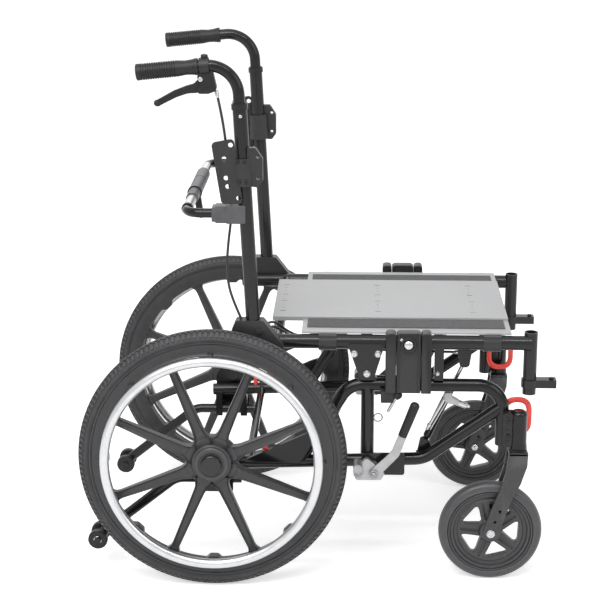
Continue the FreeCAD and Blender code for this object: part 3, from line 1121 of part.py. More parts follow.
def tilt_cables():
    """One cable down the right cane, and one from its bracket to each gas spring."""
    down = [(14, -245, 966), (22, -247, 930), (29, -247, 885), (33, -243, 840), (35, -236, 795),
            (38, -227, 755), (37, -226, 718), (32, -231, 680), (29, -240, 640), (31, -247, 602),
            (41, -249, 566), (56, -249, 531)]
    right = [(100, -229.8, 504), (105, -219, 506), (117, -208, 505), (134, -202, 494), (154, -199, 478),
             (185, -198, 466), (230, -196, 460), (290, -195, 456), (350, -196, 455), (415, -197, 453.5),
             (476.6, -198.4, 453)]
    left = [(100, -229.8, 514), (106, -218, 516), (121, -203, 512), (138, -190, 492), (160, -172, 475),
            (192, -145, 464), (235, -105, 458), (272, -55, 455), (306, 5, 454), (342, 65, 454),
            (380, 120, 453), (422, 165, 453), (452, 189, 453.5), (475.6, 198.4, 453)]
    node("tilt_cables", cable("cable_down", down), cable("cable_right", right), cable("cable_left", left))


def build():
    rear_wheels()
    casters()
    base_frame()
    wheel_locks()
    head, head_half = gas_springs()
    rail_form = seat_frame()
    spring_brackets(rail_form, head, head_half)
    seat_pan(rail_form)
    armrest_receivers(rail_form)
    tilt_trigger(*back(rail_form))
    tilt_cables()


def check():
    """Stop before anything is written if an object failed or a shape is missing or broken."""
    faults = [piece.Name for piece in document.Objects
              if "Invalid" in piece.State or "Error" in piece.State]
    faults += [group.Label for group in nodes
               if group.Shape.isNull() or not group.Shape.isValid() or not group.Shape.Solids]
    if faults:
        raise SystemExit("failed: " + ", ".join(faults))


build()
document.recompute()
check()
os.makedirs("parts", exist_ok=True)
for group in nodes:
    group.Shape.exportStep(os.path.join("parts", group.Label + ".step"))
print(len(nodes), "nodes,", sum(len(group.Shape.Solids) for group in nodes), "solids")
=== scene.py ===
import json
import math

import bmesh
import bpy
from mathutils import Matrix, Vector


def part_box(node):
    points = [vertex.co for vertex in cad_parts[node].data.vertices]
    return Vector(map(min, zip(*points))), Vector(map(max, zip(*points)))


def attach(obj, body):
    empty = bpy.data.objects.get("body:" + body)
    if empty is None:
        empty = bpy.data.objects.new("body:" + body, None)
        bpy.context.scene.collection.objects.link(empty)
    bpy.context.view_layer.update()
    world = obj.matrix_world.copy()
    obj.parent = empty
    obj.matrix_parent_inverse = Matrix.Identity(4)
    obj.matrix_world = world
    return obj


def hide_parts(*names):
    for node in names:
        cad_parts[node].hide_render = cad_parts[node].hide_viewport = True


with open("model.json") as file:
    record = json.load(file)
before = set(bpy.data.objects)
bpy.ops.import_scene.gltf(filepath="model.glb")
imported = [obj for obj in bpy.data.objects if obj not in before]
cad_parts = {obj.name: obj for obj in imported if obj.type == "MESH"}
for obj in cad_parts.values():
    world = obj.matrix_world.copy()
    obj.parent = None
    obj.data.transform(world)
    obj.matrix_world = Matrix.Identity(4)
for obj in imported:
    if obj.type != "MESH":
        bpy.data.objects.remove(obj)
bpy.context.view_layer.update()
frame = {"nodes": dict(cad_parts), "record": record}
nodes = frame["nodes"]

# The chair's middle lies 200.5 mm ahead of the rear axle, and every place below counts from that axle.
axleX = (sum(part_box("mag_wheel_right"), Vector()) / 2).x
mm = 0.001
outboard = Vector((0, -1, 0))
upward = Vector((0, 0, 1))


def spot(x, y, z):  # millimetres ahead of the axle, to the left and above the floor
    return Vector((axleX + x * mm, y * mm, z * mm))


def deselect():
    if bpy.context.object and bpy.context.object.mode != "OBJECT":
        bpy.ops.object.mode_set(mode="OBJECT")
    bpy.ops.object.select_all(action="DESELECT")


def pick(piece):
    deselect()
    piece.select_set(True)
    bpy.context.view_layer.objects.active = piece


def openMesh(piece, kind="FACE"):
    pick(piece)
    bpy.ops.object.mode_set(mode="EDIT")
    bpy.ops.mesh.select_mode(type=kind)
    return bmesh.from_edit_mesh(piece.data)


def chooseParts(piece, kind, test):  # selects the faces, edges or vertices that pass the test
    mesh = openMesh(piece, kind)
    bpy.ops.mesh.select_all(action="DESELECT")
    parts = {"FACE": mesh.faces, "EDGE": mesh.edges, "VERT": mesh.verts}[kind]
    for part in parts:
        part.select_set(bool(test(part)))
    mesh.select_flush_mode()
    bmesh.update_edit_mesh(piece.data)


def selectAll():
    bpy.ops.mesh.select_all(action="SELECT")


def closeMesh():
    bpy.ops.object.mode_set(mode="OBJECT")


def start(name, adder, **placing):
    deselect()
    adder(**placing)
    piece = bpy.context.object
    piece.name = name
    piece.data.name = name
    return piece


def settle(piece):  # writes the object's place into its mesh
    pick(piece)
    bpy.ops.object.transform_apply(location=True, rotation=True, scale=True)
    return piece


def modify(piece, kind, **values):
    pick(piece)
    modifier = piece.modifiers.new(kind.lower(), kind)
    for name, value in values.items():
        setattr(modifier, name, value)
    bpy.ops.object.modifier_apply(modifier=modifier.name)
    return piece


def soften(piece, width, segments=2, angle=35):  # rounds the sharp edges
    return modify(piece, "BEVEL", width=width * mm, segments=segments, limit_method="ANGLE",
                  angle_limit=math.radians(angle))


def join(name, *pieces):
    pick(pieces[0])
    for piece in pieces:
        piece.select_set(True)
    bpy.ops.object.join()
    pieces[0].name = name
    pieces[0].data.name = name
    return pieces[0]


def moved(piece, matrix):
    piece.data.transform(matrix)
    if matrix.determinant() < 0:
        piece.data.flip_normals()
    return piece


def remove(piece):
    pick(piece)
    bpy.ops.object.delete()


def copyOf(piece, name, matrix):
    twin = piece.copy()
    twin.data = piece.data.copy()
    twin.name = name
    twin.data.name = name
    bpy.context.scene.collection.objects.link(twin)
    return moved(twin, matrix)


def dress(piece, finish, body, slotName, *replaced, sharp=32):
    piece.data.materials.clear()
    piece.data.materials.append(finishes[finish])
    pick(piece)
    bpy.ops.object.shade_smooth_by_angle(angle=math.radians(sharp))
    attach(piece, body)
    if replaced:
        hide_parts(*replaced)


def boxCorners(left, right, bottom, top):
    return [(left, bottom), (right, bottom), (right, top), (left, top)]


def bothWays(half):  # a profile or outline and its mirror image, without doubling a point on the middle line
    return half + [(along, -side) for along, side in reversed(half) if side]


rounding = {"edgeShare": 0.49, "leastRun": 0.05}  # the share of an edge an arc may take, the shortest arc


def arcCorners(corners, radii, steps=4):  # rounds the corners of a flat outline
    if isinstance(radii, (int, float)):
        radii = [radii] * len(corners)
    line = []
    for index, (corner, radius) in enumerate(zip(corners, radii)):
        spotHere = Vector(corner)
        back = Vector(corners[index - 1]) - spotHere
        ahead = Vector(corners[(index + 1) % len(corners)]) - spotHere
        half = back.angle(ahead) / 2
        run = min(radius / math.tan(half), *[edge.length * rounding["edgeShare"] for edge in (back, ahead)])
        if radius == 0 or run < rounding["leastRun"]:
            line.append(tuple(corner))
            continue
        first, last = spotHere + back.normalized() * run, spotHere + ahead.normalized() * run
        for step in range(steps + 1):
            share = step / steps
            line.append(tuple(first.lerp(spotHere, share).lerp(spotHere.lerp(last, share), share)))
    return line


def flatForm(name, corners, low, high):  # a plate from its outline in X and Y, raised along Z
    piece = start(name, bpy.ops.mesh.primitive_circle_add, vertices=len(corners), radius=0.01,
                  fill_type="NGON")
    mesh = openMesh(piece, "VERT")
    for vertex, (x, y) in zip(mesh.verts, corners):
        vertex.co = (x * mm, y * mm, low * mm)
    bmesh.update_edit_mesh(piece.data)
    selectAll()
    bpy.ops.mesh.extrude_region_move(TRANSFORM_OT_translate={"value": (0, 0, (high - low) * mm)})
    selectAll()
    bpy.ops.mesh.normals_make_consistent(inside=False)
    closeMesh()
    return piece


def turnedForm(name, profile, steps=48):  # a form turned about Z, from radius and height
    piece = start(name, bpy.ops.mesh.primitive_circle_add, vertices=len(profile), radius=0.01,
                  fill_type="NOTHING")
    mesh = openMesh(piece, "VERT")
    mesh.verts.ensure_lookup_table()
    for vertex, (radius, height) in zip(mesh.verts, profile):
        vertex.co = (radius * mm, 0, height * mm)
    onAxis = profile[0][0] == 0 and profile[-1][0] == 0
    if onAxis:
        bpy.ops.mesh.select_all(action="DESELECT")
        bpy.ops.mesh.select_mode(type="EDGE")
        for edge in mesh.edges:
            edge.select_set({vertex.index for vertex in edge.verts} == {0, len(profile) - 1})
        bmesh.update_edit_mesh(piece.data)
        bpy.ops.mesh.delete(type="EDGE")
        bpy.ops.mesh.select_mode(type="VERT")
    selectAll()
    bpy.ops.mesh.spin(steps=steps, angle=math.tau, center=(0, 0, 0), axis=(0, 0, 1))
    selectAll()
    bpy.ops.mesh.remove_doubles(threshold=0.000005)
    bpy.ops.mesh.dissolve_degenerate(threshold=0.000002)
    selectAll()
    bpy.ops.mesh.normals_make_consistent(inside=False)
    closeMesh()
    return piece


def turnedAt(name, profile, foot, axis, steps=32):  # a turned form whose Z axis runs from foot along axis
    turn = Vector(axis).to_track_quat("Z", "Y").to_matrix().to_4x4()
    return moved(turnedForm(name, profile, steps), Matrix.Translation(foot) @ turn)


def sideForm(name, corners, thick, y, bends=0, steps=4):  # a plate in the side view, from y towards +Y
    piece = flatForm(name, arcCorners(corners, bends, steps), 0, thick)
    return moved(piece, Matrix.Translation(spot(0, y, 0)) @ uprightPlate)


def raisedInset(piece, border, depth, test):  # frames the chosen faces with a border and sinks their middles
    chooseParts(piece, "FACE", test)
    bpy.ops.mesh.inset(thickness=border * mm, depth=depth * mm)
    closeMesh()


def withTwin(piece, finish, body, slotName, node):  # a piece and its mirrored twin on one body, for one node
    dress(copyOf(piece, piece.name + "Left", mirrorSide), finish, body, slotName)
    dress(piece, finish, body, slotName, node)


def bothSides(piece, finish, body, slotName, node=None, **options):  # right piece and twin; * is the side
    name = piece.name
    twin = copyOf(piece, name + "Left", mirrorSide)
    piece.name = piece.data.name = name + "Right"
    for side, one in (("right", piece), ("left", twin)):
        nodeName = [node.replace("*", side)] if node else []
        dress(one, finish, body.replace("*", side), slotName, *nodeName, **options)


def tiltedForm(name, profile, foot, tip, steps=32):  # a turned form from foot, pointing at tip
    return turnedAt(name, profile, foot, tip - foot, steps)


def cutAway(piece, cutter):
    modify(piece, "BOOLEAN", operation="DIFFERENCE", object=cutter, solver="EXACT")
    remove(cutter)


def drill(piece, *holes):  # bores through the piece along Y: place and diameter
    for place, size in holes:
        bit = start("bit", bpy.ops.mesh.primitive_cylinder_add, vertices=24, radius=size / 2 * mm, depth=0.2,
                    location=place, rotation=(math.radians(90), 0, 0))
        cutAway(piece, settle(bit))
    return piece


def tubeAlong(name, points, radius):  # a round cable through the points
    deselect()
    path = bpy.data.curves.new(name, "CURVE")
    path.dimensions = "3D"
    line = path.splines.new("NURBS")
    line.points.add(len(points) - 1)
    for knot, point in zip(line.points, points):
        knot.co = (*point, 1)
    line.order_u = 3
    line.use_endpoint_u = True
    line.resolution_u = 16
    path.bevel_depth = radius * mm
    path.bevel_resolution = 4
    path.use_fill_caps = True
    piece = bpy.data.objects.new(name, path)
    bpy.context.scene.collection.objects.link(piece)
    pick(piece)
    bpy.ops.object.convert(target="MESH")
    return bpy.context.object


screwForm = {
    "dome": [(0, 0), (1, 0), (1, 1), (0.86, 2.1), (0.5, 2.7), (0, 2.8)],  # share of the radius, and height
    "well": 0.42, "wellDepth": 4, "wellRise": 3.4,
}


def screwHead(name, place, size):  # a domed head on a plate's right face, with its hexagon socket
    radius = size / 2
    dome = [(radius * share, height) for share, height in screwForm["dome"]]
    head = turnedAt(name, dome, place, outboard, 24)
    well = start("well", bpy.ops.mesh.primitive_cylinder_add, vertices=6,
                 radius=radius * screwForm["well"] * mm, depth=screwForm["wellDepth"] * mm,
                 location=place + outboard * screwForm["wellRise"] * mm, rotation=(math.radians(90), 0, 0))
    cutAway(head, settle(well))
    return head


def looseBoxes(node):  # the low and high corners of every loose piece of one of the frame's meshes
    mesh = bmesh.new()
    mesh.from_mesh(node.data)
    bmesh.ops.remove_doubles(mesh, verts=mesh.verts, dist=0.00001)
    waiting, boxes = set(mesh.verts), []
    while waiting:
        group, edge = [], [waiting.pop()]
        while edge:
            vertex = edge.pop()
            group.append(node.matrix_world @ vertex.co)
            for link in vertex.link_edges:
                other = link.other_vert(vertex)
                if other in waiting:
                    waiting.remove(other)
                    edge.append(other)
        low = Vector([min(point[axis] for point in group) for axis in range(3)])
        high = Vector([max(point[axis] for point in group) for axis in range(3)])
        boxes.append((low, high))
    mesh.free()
    return boxes


acrossSide = Matrix.Rotation(math.radians(90), 4, "X")  # a turned form's own Z axis to the right side
mirrorSide = Matrix.Scale(-1, 4, (0, 1, 0))
uprightPlate = Matrix(((1, 0, 0, 0), (0, 0, 1, 0), (0, 1, 0, 0), (0, 0, 0, 1)))


# Finishes. Every one reads object coordinates, so a pattern stays on its piece.
# The four entries before smoothest shape the painted highlight on sharp edges.
finishMake = {"grain": 0.0006, "grainDetail": 3.0, "cloudDetail": 6.0, "tintFrom": 0.3, "tintTo": 0.72,
              "roughSpread": 0.12, "highlightFrom": 0.52, "highlightTo": 0.62, "highlightFactor": 2.2, "highlightLift": 0.06,
              "smoothest": 0.03}


def newPaint(name):
    paint = bpy.data.materials.new(name)
    paint.use_nodes = True
    return paint, paint.node_tree, paint.node_tree.nodes["Principled BSDF"]


def feed(node, values):  # sets a node's inputs by their names
    for name, value in values.items():
        node.inputs[name].default_value = value


def newFinish(name, colour, roughness, metallic=0.0, mottle=0.12, mottleScale=60.0, grainScale=900.0,
              bump=0.12, edgeHighlight=0.0, specular=0.5):
    finish, tree, shader = newPaint(name)
    link = tree.links.new
    place = tree.nodes.new("ShaderNodeTexCoord")
    cloud = tree.nodes.new("ShaderNodeTexNoise")
    feed(cloud, {"Scale": mottleScale, "Detail": finishMake["cloudDetail"]})
    link(place.outputs["Object"], cloud.inputs["Vector"])
    tint = tree.nodes.new("ShaderNodeValToRGB")
    tint.color_ramp.elements[0].position = finishMake["tintFrom"]
    tint.color_ramp.elements[1].position = finishMake["tintTo"]
    tint.color_ramp.elements[0].color = (*[c * (1 - mottle) for c in colour], 1)
    tint.color_ramp.elements[1].color = (*[min(c * (1 + mottle), 1) for c in colour], 1)
    link(cloud.outputs["Fac"], tint.inputs["Fac"])
    link(tint.outputs["Color"], shader.inputs["Base Color"])
    gloss = tree.nodes.new("ShaderNodeMapRange")
    spread = finishMake["roughSpread"] / 2
    feed(gloss, {"To Min": max(roughness - spread, finishMake["smoothest"]),
                 "To Max": min(roughness + spread, 1)})
    link(cloud.outputs["Fac"], gloss.inputs["Value"])
    link(gloss.outputs["Result"], shader.inputs["Roughness"])
    fine = tree.nodes.new("ShaderNodeTexNoise")
    feed(fine, {"Scale": grainScale, "Detail": finishMake["grainDetail"]})
    link(place.outputs["Object"], fine.inputs["Vector"])
    relief = tree.nodes.new("ShaderNodeBump")
    feed(relief, {"Strength": bump, "Distance": finishMake["grain"]})
    link(fine.outputs["Fac"], relief.inputs["Height"])
    link(relief.outputs["Normal"], shader.inputs["Normal"])
    feed(shader, {"Metallic": metallic, "Specular IOR Level": specular})
    # Painted highlight: sharp convex edges, found by Pointiness, are blended towards a paler colour in place
    # of edge highlights.
    if edgeHighlight:
        edge = tree.nodes.new("ShaderNodeNewGeometry")
        highlightMask = tree.nodes.new("ShaderNodeMapRange")
        feed(highlightMask, {"From Min": finishMake["highlightFrom"], "From Max": finishMake["highlightTo"], "To Max": edgeHighlight})
        link(edge.outputs["Pointiness"], highlightMask.inputs["Value"])
        blend = tree.nodes.new("ShaderNodeMix")
        blend.data_type = "RGBA"
        link(highlightMask.outputs["Result"], blend.inputs["Factor"])
        link(tint.outputs["Color"], blend.inputs[6])
        highlightColour = [min(c * finishMake["highlightFactor"] + finishMake["highlightLift"], 1) for c in colour]
        blend.inputs[7].default_value = (*highlightColour, 1)
        link(blend.outputs[2], shader.inputs["Base Color"])
    return finish


finishes = {
    # The edge value given to some finishes below sets how strongly their sharp edges are lightened, as a
    # painted highlight.
    "blackPaint": newFinish("black_paint", (0.006, 0.006, 0.007), 0.12, mottle=0.1, bump=0.05, grainScale=260,
                            edgeHighlight=0.12, specular=0.3),
    "satinPaint": newFinish("satin_paint", (0.028, 0.028, 0.03), 0.28, mottle=0.1, bump=0.06, grainScale=260,
                            edgeHighlight=0.3),
    "blackPlastic": newFinish("black_plastic", (0.012, 0.012, 0.013), 0.36, bump=0.22, grainScale=1500,
                              edgeHighlight=0.25, specular=0.28),
    "wheelPlastic": newFinish("wheel_plastic", (0.034, 0.034, 0.036), 0.36, bump=0.18, grainScale=1200,
                              edgeHighlight=0.35, specular=0.45),
    "capPlastic": newFinish("cap_plastic", (0.003, 0.003, 0.003), 0.07, bump=0.02),
    "tyreRubber": newFinish("tyre_rubber", (0.055, 0.054, 0.057), 0.6, mottle=0.16, mottleScale=35, bump=0.3,
                            grainScale=700, specular=0.3, edgeHighlight=0.2),
    "casterRubber": newFinish("caster_rubber", (0.06, 0.06, 0.063), 0.36, bump=0.2, specular=0.4),
    "gripRubber": newFinish("grip_rubber", (0.013, 0.013, 0.014), 0.45, bump=0.25, grainScale=1300,
                            specular=0.3),
    "brightAlloy": newFinish("bright_alloy", (0.56, 0.565, 0.575), 0.3, metallic=1.0, mottle=0.04, bump=0.05),
    "brightSteel": newFinish("bright_steel", (0.5, 0.5, 0.515), 0.2, metallic=1.0, mottle=0.06, bump=0.06),
    "castAlloy": newFinish("cast_alloy", (0.36, 0.36, 0.365), 0.42, metallic=0.85, mottle=0.12, bump=0.35,
                           grainScale=500),
    "greySteel": newFinish("grey_steel", (0.3, 0.3, 0.31), 0.4, metallic=0.8, mottle=0.12, bump=0.2),
    "panPaint": newFinish("pan_paint", (0.35, 0.352, 0.358), 0.42, mottle=0.04, mottleScale=18, bump=0.28,
                          grainScale=420),
    "padGrey": newFinish("pad_grey", (0.11, 0.11, 0.113), 0.85, mottle=0.14, mottleScale=120, bump=0.6,
                         grainScale=1600, specular=0.2),
    "redPaint": newFinish("red_paint", (0.83, 0.065, 0.045), 0.3, mottle=0.06, bump=0.05),
    "greyPlastic": newFinish("grey_plastic", (0.075, 0.075, 0.08), 0.42, bump=0.2, specular=0.4),
    "cableJacket": newFinish("cable_jacket", (0.014, 0.014, 0.015), 0.35, bump=0.08),
}
cadFinish = {
    "black_paint": "blackPaint", "black_plastic": "blackPlastic", "black_gloss_plastic": "wheelPlastic",
    "grey_rubber": "tyreRubber", "grip_rubber": "gripRubber", "bright_alloy": "brightAlloy",
    "bright_steel": "brightSteel", "cast_alloy": "castAlloy", "grey_steel": "greySteel",
    "grey_paint": "panPaint", "dark_grey_pad": "padGrey", "red_paint": "redPaint",
    "grey_plastic": "greyPlastic",
}
for entry in frame["record"]["subparts"]:
    node = nodes[entry["node"]]
    finish = finishes[cadFinish[entry["material_slot"]]]
    if node.name.startswith("hub_cap"):
        finish = finishes["capPlastic"]
    if node.name.startswith("caster_tyre"):
        finish = finishes["casterRubber"]
    for slotPlace in node.material_slots:
        slotPlace.material = finish
    if not node.material_slots:
        node.data.materials.append(finish)
print("finishes on the frame's parts")


# Rear wheels, modelled about their own axle with Z outboard and then stood on the right side
rearWheel = {"spread": 284, "height": 260, "spokes": 8}
rearTread = {"steps": 600, "rise": 2.1, "from": 250, "crown": 3, "shoulder": 8.5}
rearTyreHalf = [(236.2, 9.5), (237, 12.5), (239, 15), (242.5, 16.8), (244.6, 17.4), (246, 17.4),
                (246.9, 16.2), (249, 15.4), (251.6, 13.6), (254.2, 10.6), (256.2, 7.4), (257.3, 4.2),
                (257.8, 1.5)]
spokeStations = [(36, 17.5), (46, 16.2), (51, 14), (57, 11.8), (64, 10.6), (90, 9.8), (130, 8.9), (170, 8),
                 (192, 7.5), (199, 8.5), (204, 11.5), (211, 17)]  # radius and half width
spokeForm = {"half": 6.5, "border": 3.6, "sunk": -4.5, "run": 175, "reach": 2.6, "swell": 0.6, "rise": 1,
             "lift": 13.5}
hubForm = [(6.6, -26), (31, -26), (33, -24), (33, -5), (50, -3), (51, -1), (51, 15), (49.5, 17.5), (46, 18.5),
           (41, 18), (38.5, 21), (37.5, 27), (35, 28.5), (33.6, 29), (33.2, 32.5), (31.6, 34), (25.2, 34),
           (24.4, 32.6), (20.9, 32.4), (20.4, 33.8), (6.6, 33.8)]
rimForm = [(211.5, -12), (236, -12), (237.5, -13), (237.5, -9), (236, -8), (236, 8), (237.5, 9), (237.5, 13),
           (235.6, 13), (232.5, 10.4), (222, 9.2), (214, 10.6), (212, 12), (209.4, 11), (209, 8), (209, -8),
           (209.6, -11)]
rimScallop = {"corners": [(214, -20), (214, 20), (209, 17), (200.5, 8), (200.5, -8), (209, -17)],
              "bends": [0, 0, 8, 6, 6, 8], "low": -9, "high": 9.5}
handrimPost = {"form": [(0, 8), (7.5, 8), (6.2, 11), (4.6, 13.5), (4.4, 23.5), (0, 23.5)], "radius": 213.5}
wheelWeb = {"radius": 64, "arch": 14, "from": -76, "step": 19, "points": 9, "low": 1, "high": 16}


def wheelPlace():
    return Matrix.Translation(spot(0, -rearWheel["spread"], rearWheel["height"])) @ acrossSide


def rearTyre():
    steps = rearTread["steps"]
    tyre = turnedForm("rearTyre", bothWays(rearTyreHalf), steps)

    def onBlock(face):
        middle = face.calc_center_median()
        radius, half = math.hypot(middle.x, middle.y), abs(middle.z)
        step = int(math.atan2(middle.y, middle.x) / math.tau * steps // 1)
        row = 0 if half < rearTread["crown"] * mm else 1 if half < rearTread["shoulder"] * mm else 2
        return radius > rearTread["from"] * mm and (row == 0 or (step // 2 + row) % 2 == 0)
    chooseParts(tyre, "FACE", onBlock)
    bpy.ops.mesh.extrude_region_shrink_fatten(TRANSFORM_OT_shrink_fatten={"value": rearTread["rise"] * mm})
    closeMesh()
    return moved(tyre, wheelPlace())


def wheelSpoke():
    form = spokeForm
    spoke = flatForm("spoke", bothWays(spokeStations), -form["half"], form["half"])
    raisedInset(spoke, form["border"], form["sunk"], lambda face: face.normal.z > 0.9 and len(face.verts) > 8)
    for radius, half in spokeStations:
        # the spoke is thick and stands far outboard at the hub, and thins towards the rim
        share = (spokeStations[-1][0] - radius) / form["run"]
        chooseParts(spoke, "VERT", lambda vertex: abs(vertex.co.x - radius * mm) < form["reach"] * mm)
        bpy.ops.transform.resize(value=(1, 1, 1 + form["swell"] * share), center_override=(0, 0, 0))
        bpy.ops.transform.translate(value=(0, 0, (form["rise"] + form["lift"] * share) * mm))
        closeMesh()
    return soften(spoke, 1.1, 2, 40)


def spokeWeb():  # each window's inner end is a round arch between two spokes
    outline = []
    radius, arch = wheelWeb["radius"], wheelWeb["arch"]
    for number in range(rearWheel["spokes"]):
        heading = math.tau * number / rearWheel["spokes"]
        for step in reversed(range(wheelWeb["points"])):
            turn = heading + math.pi + math.radians(wheelWeb["from"] + wheelWeb["step"] * step)
            outline.append((radius * math.cos(heading) + arch * math.cos(turn),
                            radius * math.sin(heading) + arch * math.sin(turn)))
    return soften(flatForm("web", outline, wheelWeb["low"], wheelWeb["high"]), 1.4, 3)


def magWheel():
    spoke = wheelSpoke()
    parts = [turnedForm("hub", hubForm, 96), turnedForm("rim", rimForm, 192)]
    scallopOutline = arcCorners(rimScallop["corners"], rimScallop["bends"])
    for number in range(rearWheel["spokes"]):
        turn = Matrix.Rotation(math.tau * (number + 0.5) / rearWheel["spokes"], 4, "Z")
        parts.append(copyOf(spoke, f"spoke{number}", turn))
        turn = Matrix.Rotation(math.tau * number / rearWheel["spokes"], 4, "Z")
        scallop = flatForm("scallop", scallopOutline, rimScallop["low"], rimScallop["high"])
        parts.append(moved(soften(scallop, 1), turn))
        post = turnedForm("post", handrimPost["form"], 20)
        parts.append(moved(post, turn @ Matrix.Translation((handrimPost["radius"] * mm, 0, 0))))
    remove(spoke)
    parts.append(spokeWeb())
    return moved(join("magWheel", *parts), wheelPlace())


bothSides(rearTyre(), "tyreRubber", "rear_wheel_*", "grey_rubber", "rear_tyre_*", sharp=28)
bothSides(magWheel(), "wheelPlastic", "rear_wheel_*", "black_gloss_plastic", "mag_wheel_*")
print("rear wheels")


# Casters, modelled about their own axle with Z outboard
caster = {"ahead": 541, "spread": 240, "height": 101.5, "spokes": 5, "firstSpoke": 33, "halfGap": 19}
casterWindow = [(21, 0, 5), (61.5, 27, 7), (61.5, -27, 7)]  # radius, heading and rounding of its corners
casterWheelHalf = [(83.4, 13), (82.4, 15.6), (79.4, 15), (78.6, 12.4), (77, 13.4), (73, 12.4), (71, 8.4),
                   (65.5, 6.2), (63.6, 7.6), (24, 8.4), (21, 13), (19.5, 16), (17.5, 17), (11.5, 17),
                   (10.5, 15.4), (4.4, 15.4)]
casterGroove = {"corners": [(23, -3.6), (59, -2.6), (59, 2.6), (23, 3.6)], "levels": ((-20, -5), (5, 20))}
casterTyreHalf = [(83.6, 14.6), (84.6, 15.6), (86.6, 15.9), (88, 15), (89.5, 14.7), (92.5, 14.6),
                  (95.6, 13.4), (98.2, 10.8), (100.2, 7.2), (101.2, 3.4), (101.5, 0)]
fork = {
    "leg": [(571.5, 270), (608.5, 270), (607.5, 243), (596, 206), (581, 176), (563, 122), (560.5, 96),
            (551, 87.5), (538, 86.5), (527.5, 92), (526, 106), (540, 150), (557, 196), (566, 228)],
    "bends": [1, 1, 20, 40, 40, 30, 14, 12, 12, 12, 14, 40, 60, 40],
    "thick": 6, "bores": [(548.6, 126, 6), (557.5, 148, 6.5)], "swivel": 590, "top": 270, "width": 37,
    "crown": 6.8, "crownHeight": 266.6,
    "washer": [(0, 0), (16, 0), (16.4, 0.6), (16.4, 1.8), (15.8, 2.4), (0, 2.4)],
    "stem": [(0, -3), (6.4, -3), (6.4, 66), (5.8, 68), (0, 68)],
}
forkBolt = {
    "head": [(0, 1), (5.4, 1), (6.3, 1.4), (6.6, 2.2), (6.6, 3.6), (6, 4), (3.4, 4), (3.2, 2.8), (0, 2.8)],
    "washer": [(0, 0), (8, 0), (8, 1), (7.6, 1.3), (0, 1.3)],
    "shank": [(0, -51), (3.9, -51), (3.9, 1), (0, 1)],
    "nut": [(0, 0), (7.6, 0), (7.6, 4.4), (6.6, 5.2), (4.4, 6), (0, 6)],
}


def casterPlace():
    return Matrix.Translation(spot(caster["ahead"], -caster["spread"], caster["height"])) @ acrossSide


def casterWheel():
    wheel = turnedForm("casterWheel", bothWays(casterWheelHalf), 120)
    corners = [(radius * math.cos(math.radians(turn)), radius * math.sin(math.radians(turn)))
               for radius, turn, bend in casterWindow]
    windowOutline = arcCorners(corners, [bend for radius, turn, bend in casterWindow], 6)
    grooveOutline = arcCorners(casterGroove["corners"], 2, 3)
    for number in range(caster["spokes"]):
        heading = math.radians(caster["firstSpoke"] + 360 / caster["spokes"] * number)
        window = flatForm("window", windowOutline, -30, 30)
        cuts = [moved(window, Matrix.Rotation(heading + math.radians(180 / caster["spokes"]), 4, "Z"))]
        for low, high in casterGroove["levels"]:
            groove = flatForm("groove", grooveOutline, low, high)
            cuts.append(moved(groove, Matrix.Rotation(heading, 4, "Z")))
        for cutter in cuts:
            cutAway(wheel, cutter)
    return moved(soften(wheel, 0.9, 2, 50), casterPlace())


def casterTyre():
    return moved(turnedForm("casterTyre", bothWays(casterTyreHalf), 192), casterPlace())


def casterFork():
    y, gap, thick = -caster["spread"], caster["halfGap"], fork["thick"]
    bores = [(spot(along, y, height), size) for along, height, size in fork["bores"]]
    parts = []
    for legStart in (y - gap - thick, y + gap):
        leg = sideForm("leg", fork["leg"], thick, legStart, fork["bends"], 5)
        parts.append(soften(drill(leg, *bores), 1.1, 3, 50))
    crown = start("crown", bpy.ops.mesh.primitive_cube_add, size=1,
                  location=spot(fork["swivel"], y, fork["crownHeight"]))
    crown.scale = (fork["width"] * mm, (gap + thick) * 2 * mm, fork["crown"] * mm)
    parts.append(soften(settle(crown), 1.6, 3))
    top = spot(fork["swivel"], y, fork["top"])
    parts.append(turnedAt("washer", fork["washer"], top, upward, 40))
    parts.append(turnedAt("stem", fork["stem"], top, upward, 24))
    return join("casterFork", *parts)


def casterBolt():
    halfWidth = caster["halfGap"] + fork["thick"]
    place = spot(caster["ahead"], -caster["spread"] - halfWidth, caster["height"])
    return join("casterBolt", turnedAt("head", forkBolt["head"], place, outboard, 6),
                turnedAt("washer", forkBolt["washer"], place, outboard, 32),
                turnedAt("shank", forkBolt["shank"], place, outboard, 20),
                turnedAt("nut", forkBolt["nut"], place - outboard * halfWidth * 2 * mm, -outboard, 6))


bothSides(casterWheel(), "wheelPlastic", "caster_wheel_*", "black_gloss_plastic", "caster_wheel_*")
bothSides(casterTyre(), "casterRubber", "caster_wheel_*", "grey_rubber", "caster_tyre_*")
bothSides(casterFork(), "satinPaint", "caster_fork_*", "black_paint", "caster_fork_*")
bothSides(casterBolt(), "brightSteel", "caster_fork_*", "bright_steel")
print("casters")


# Hand grips, release lever and its cables
grip = {"size": 31, "spread": 245, "endGap": 1.5, "firstRib": 8, "rib": 4.4, "ribDepth": 1.5, "ribInset": 0.2,
        "ribbedShare": 0.62, "ribShares": (0.5, 0.62, 0.9)}
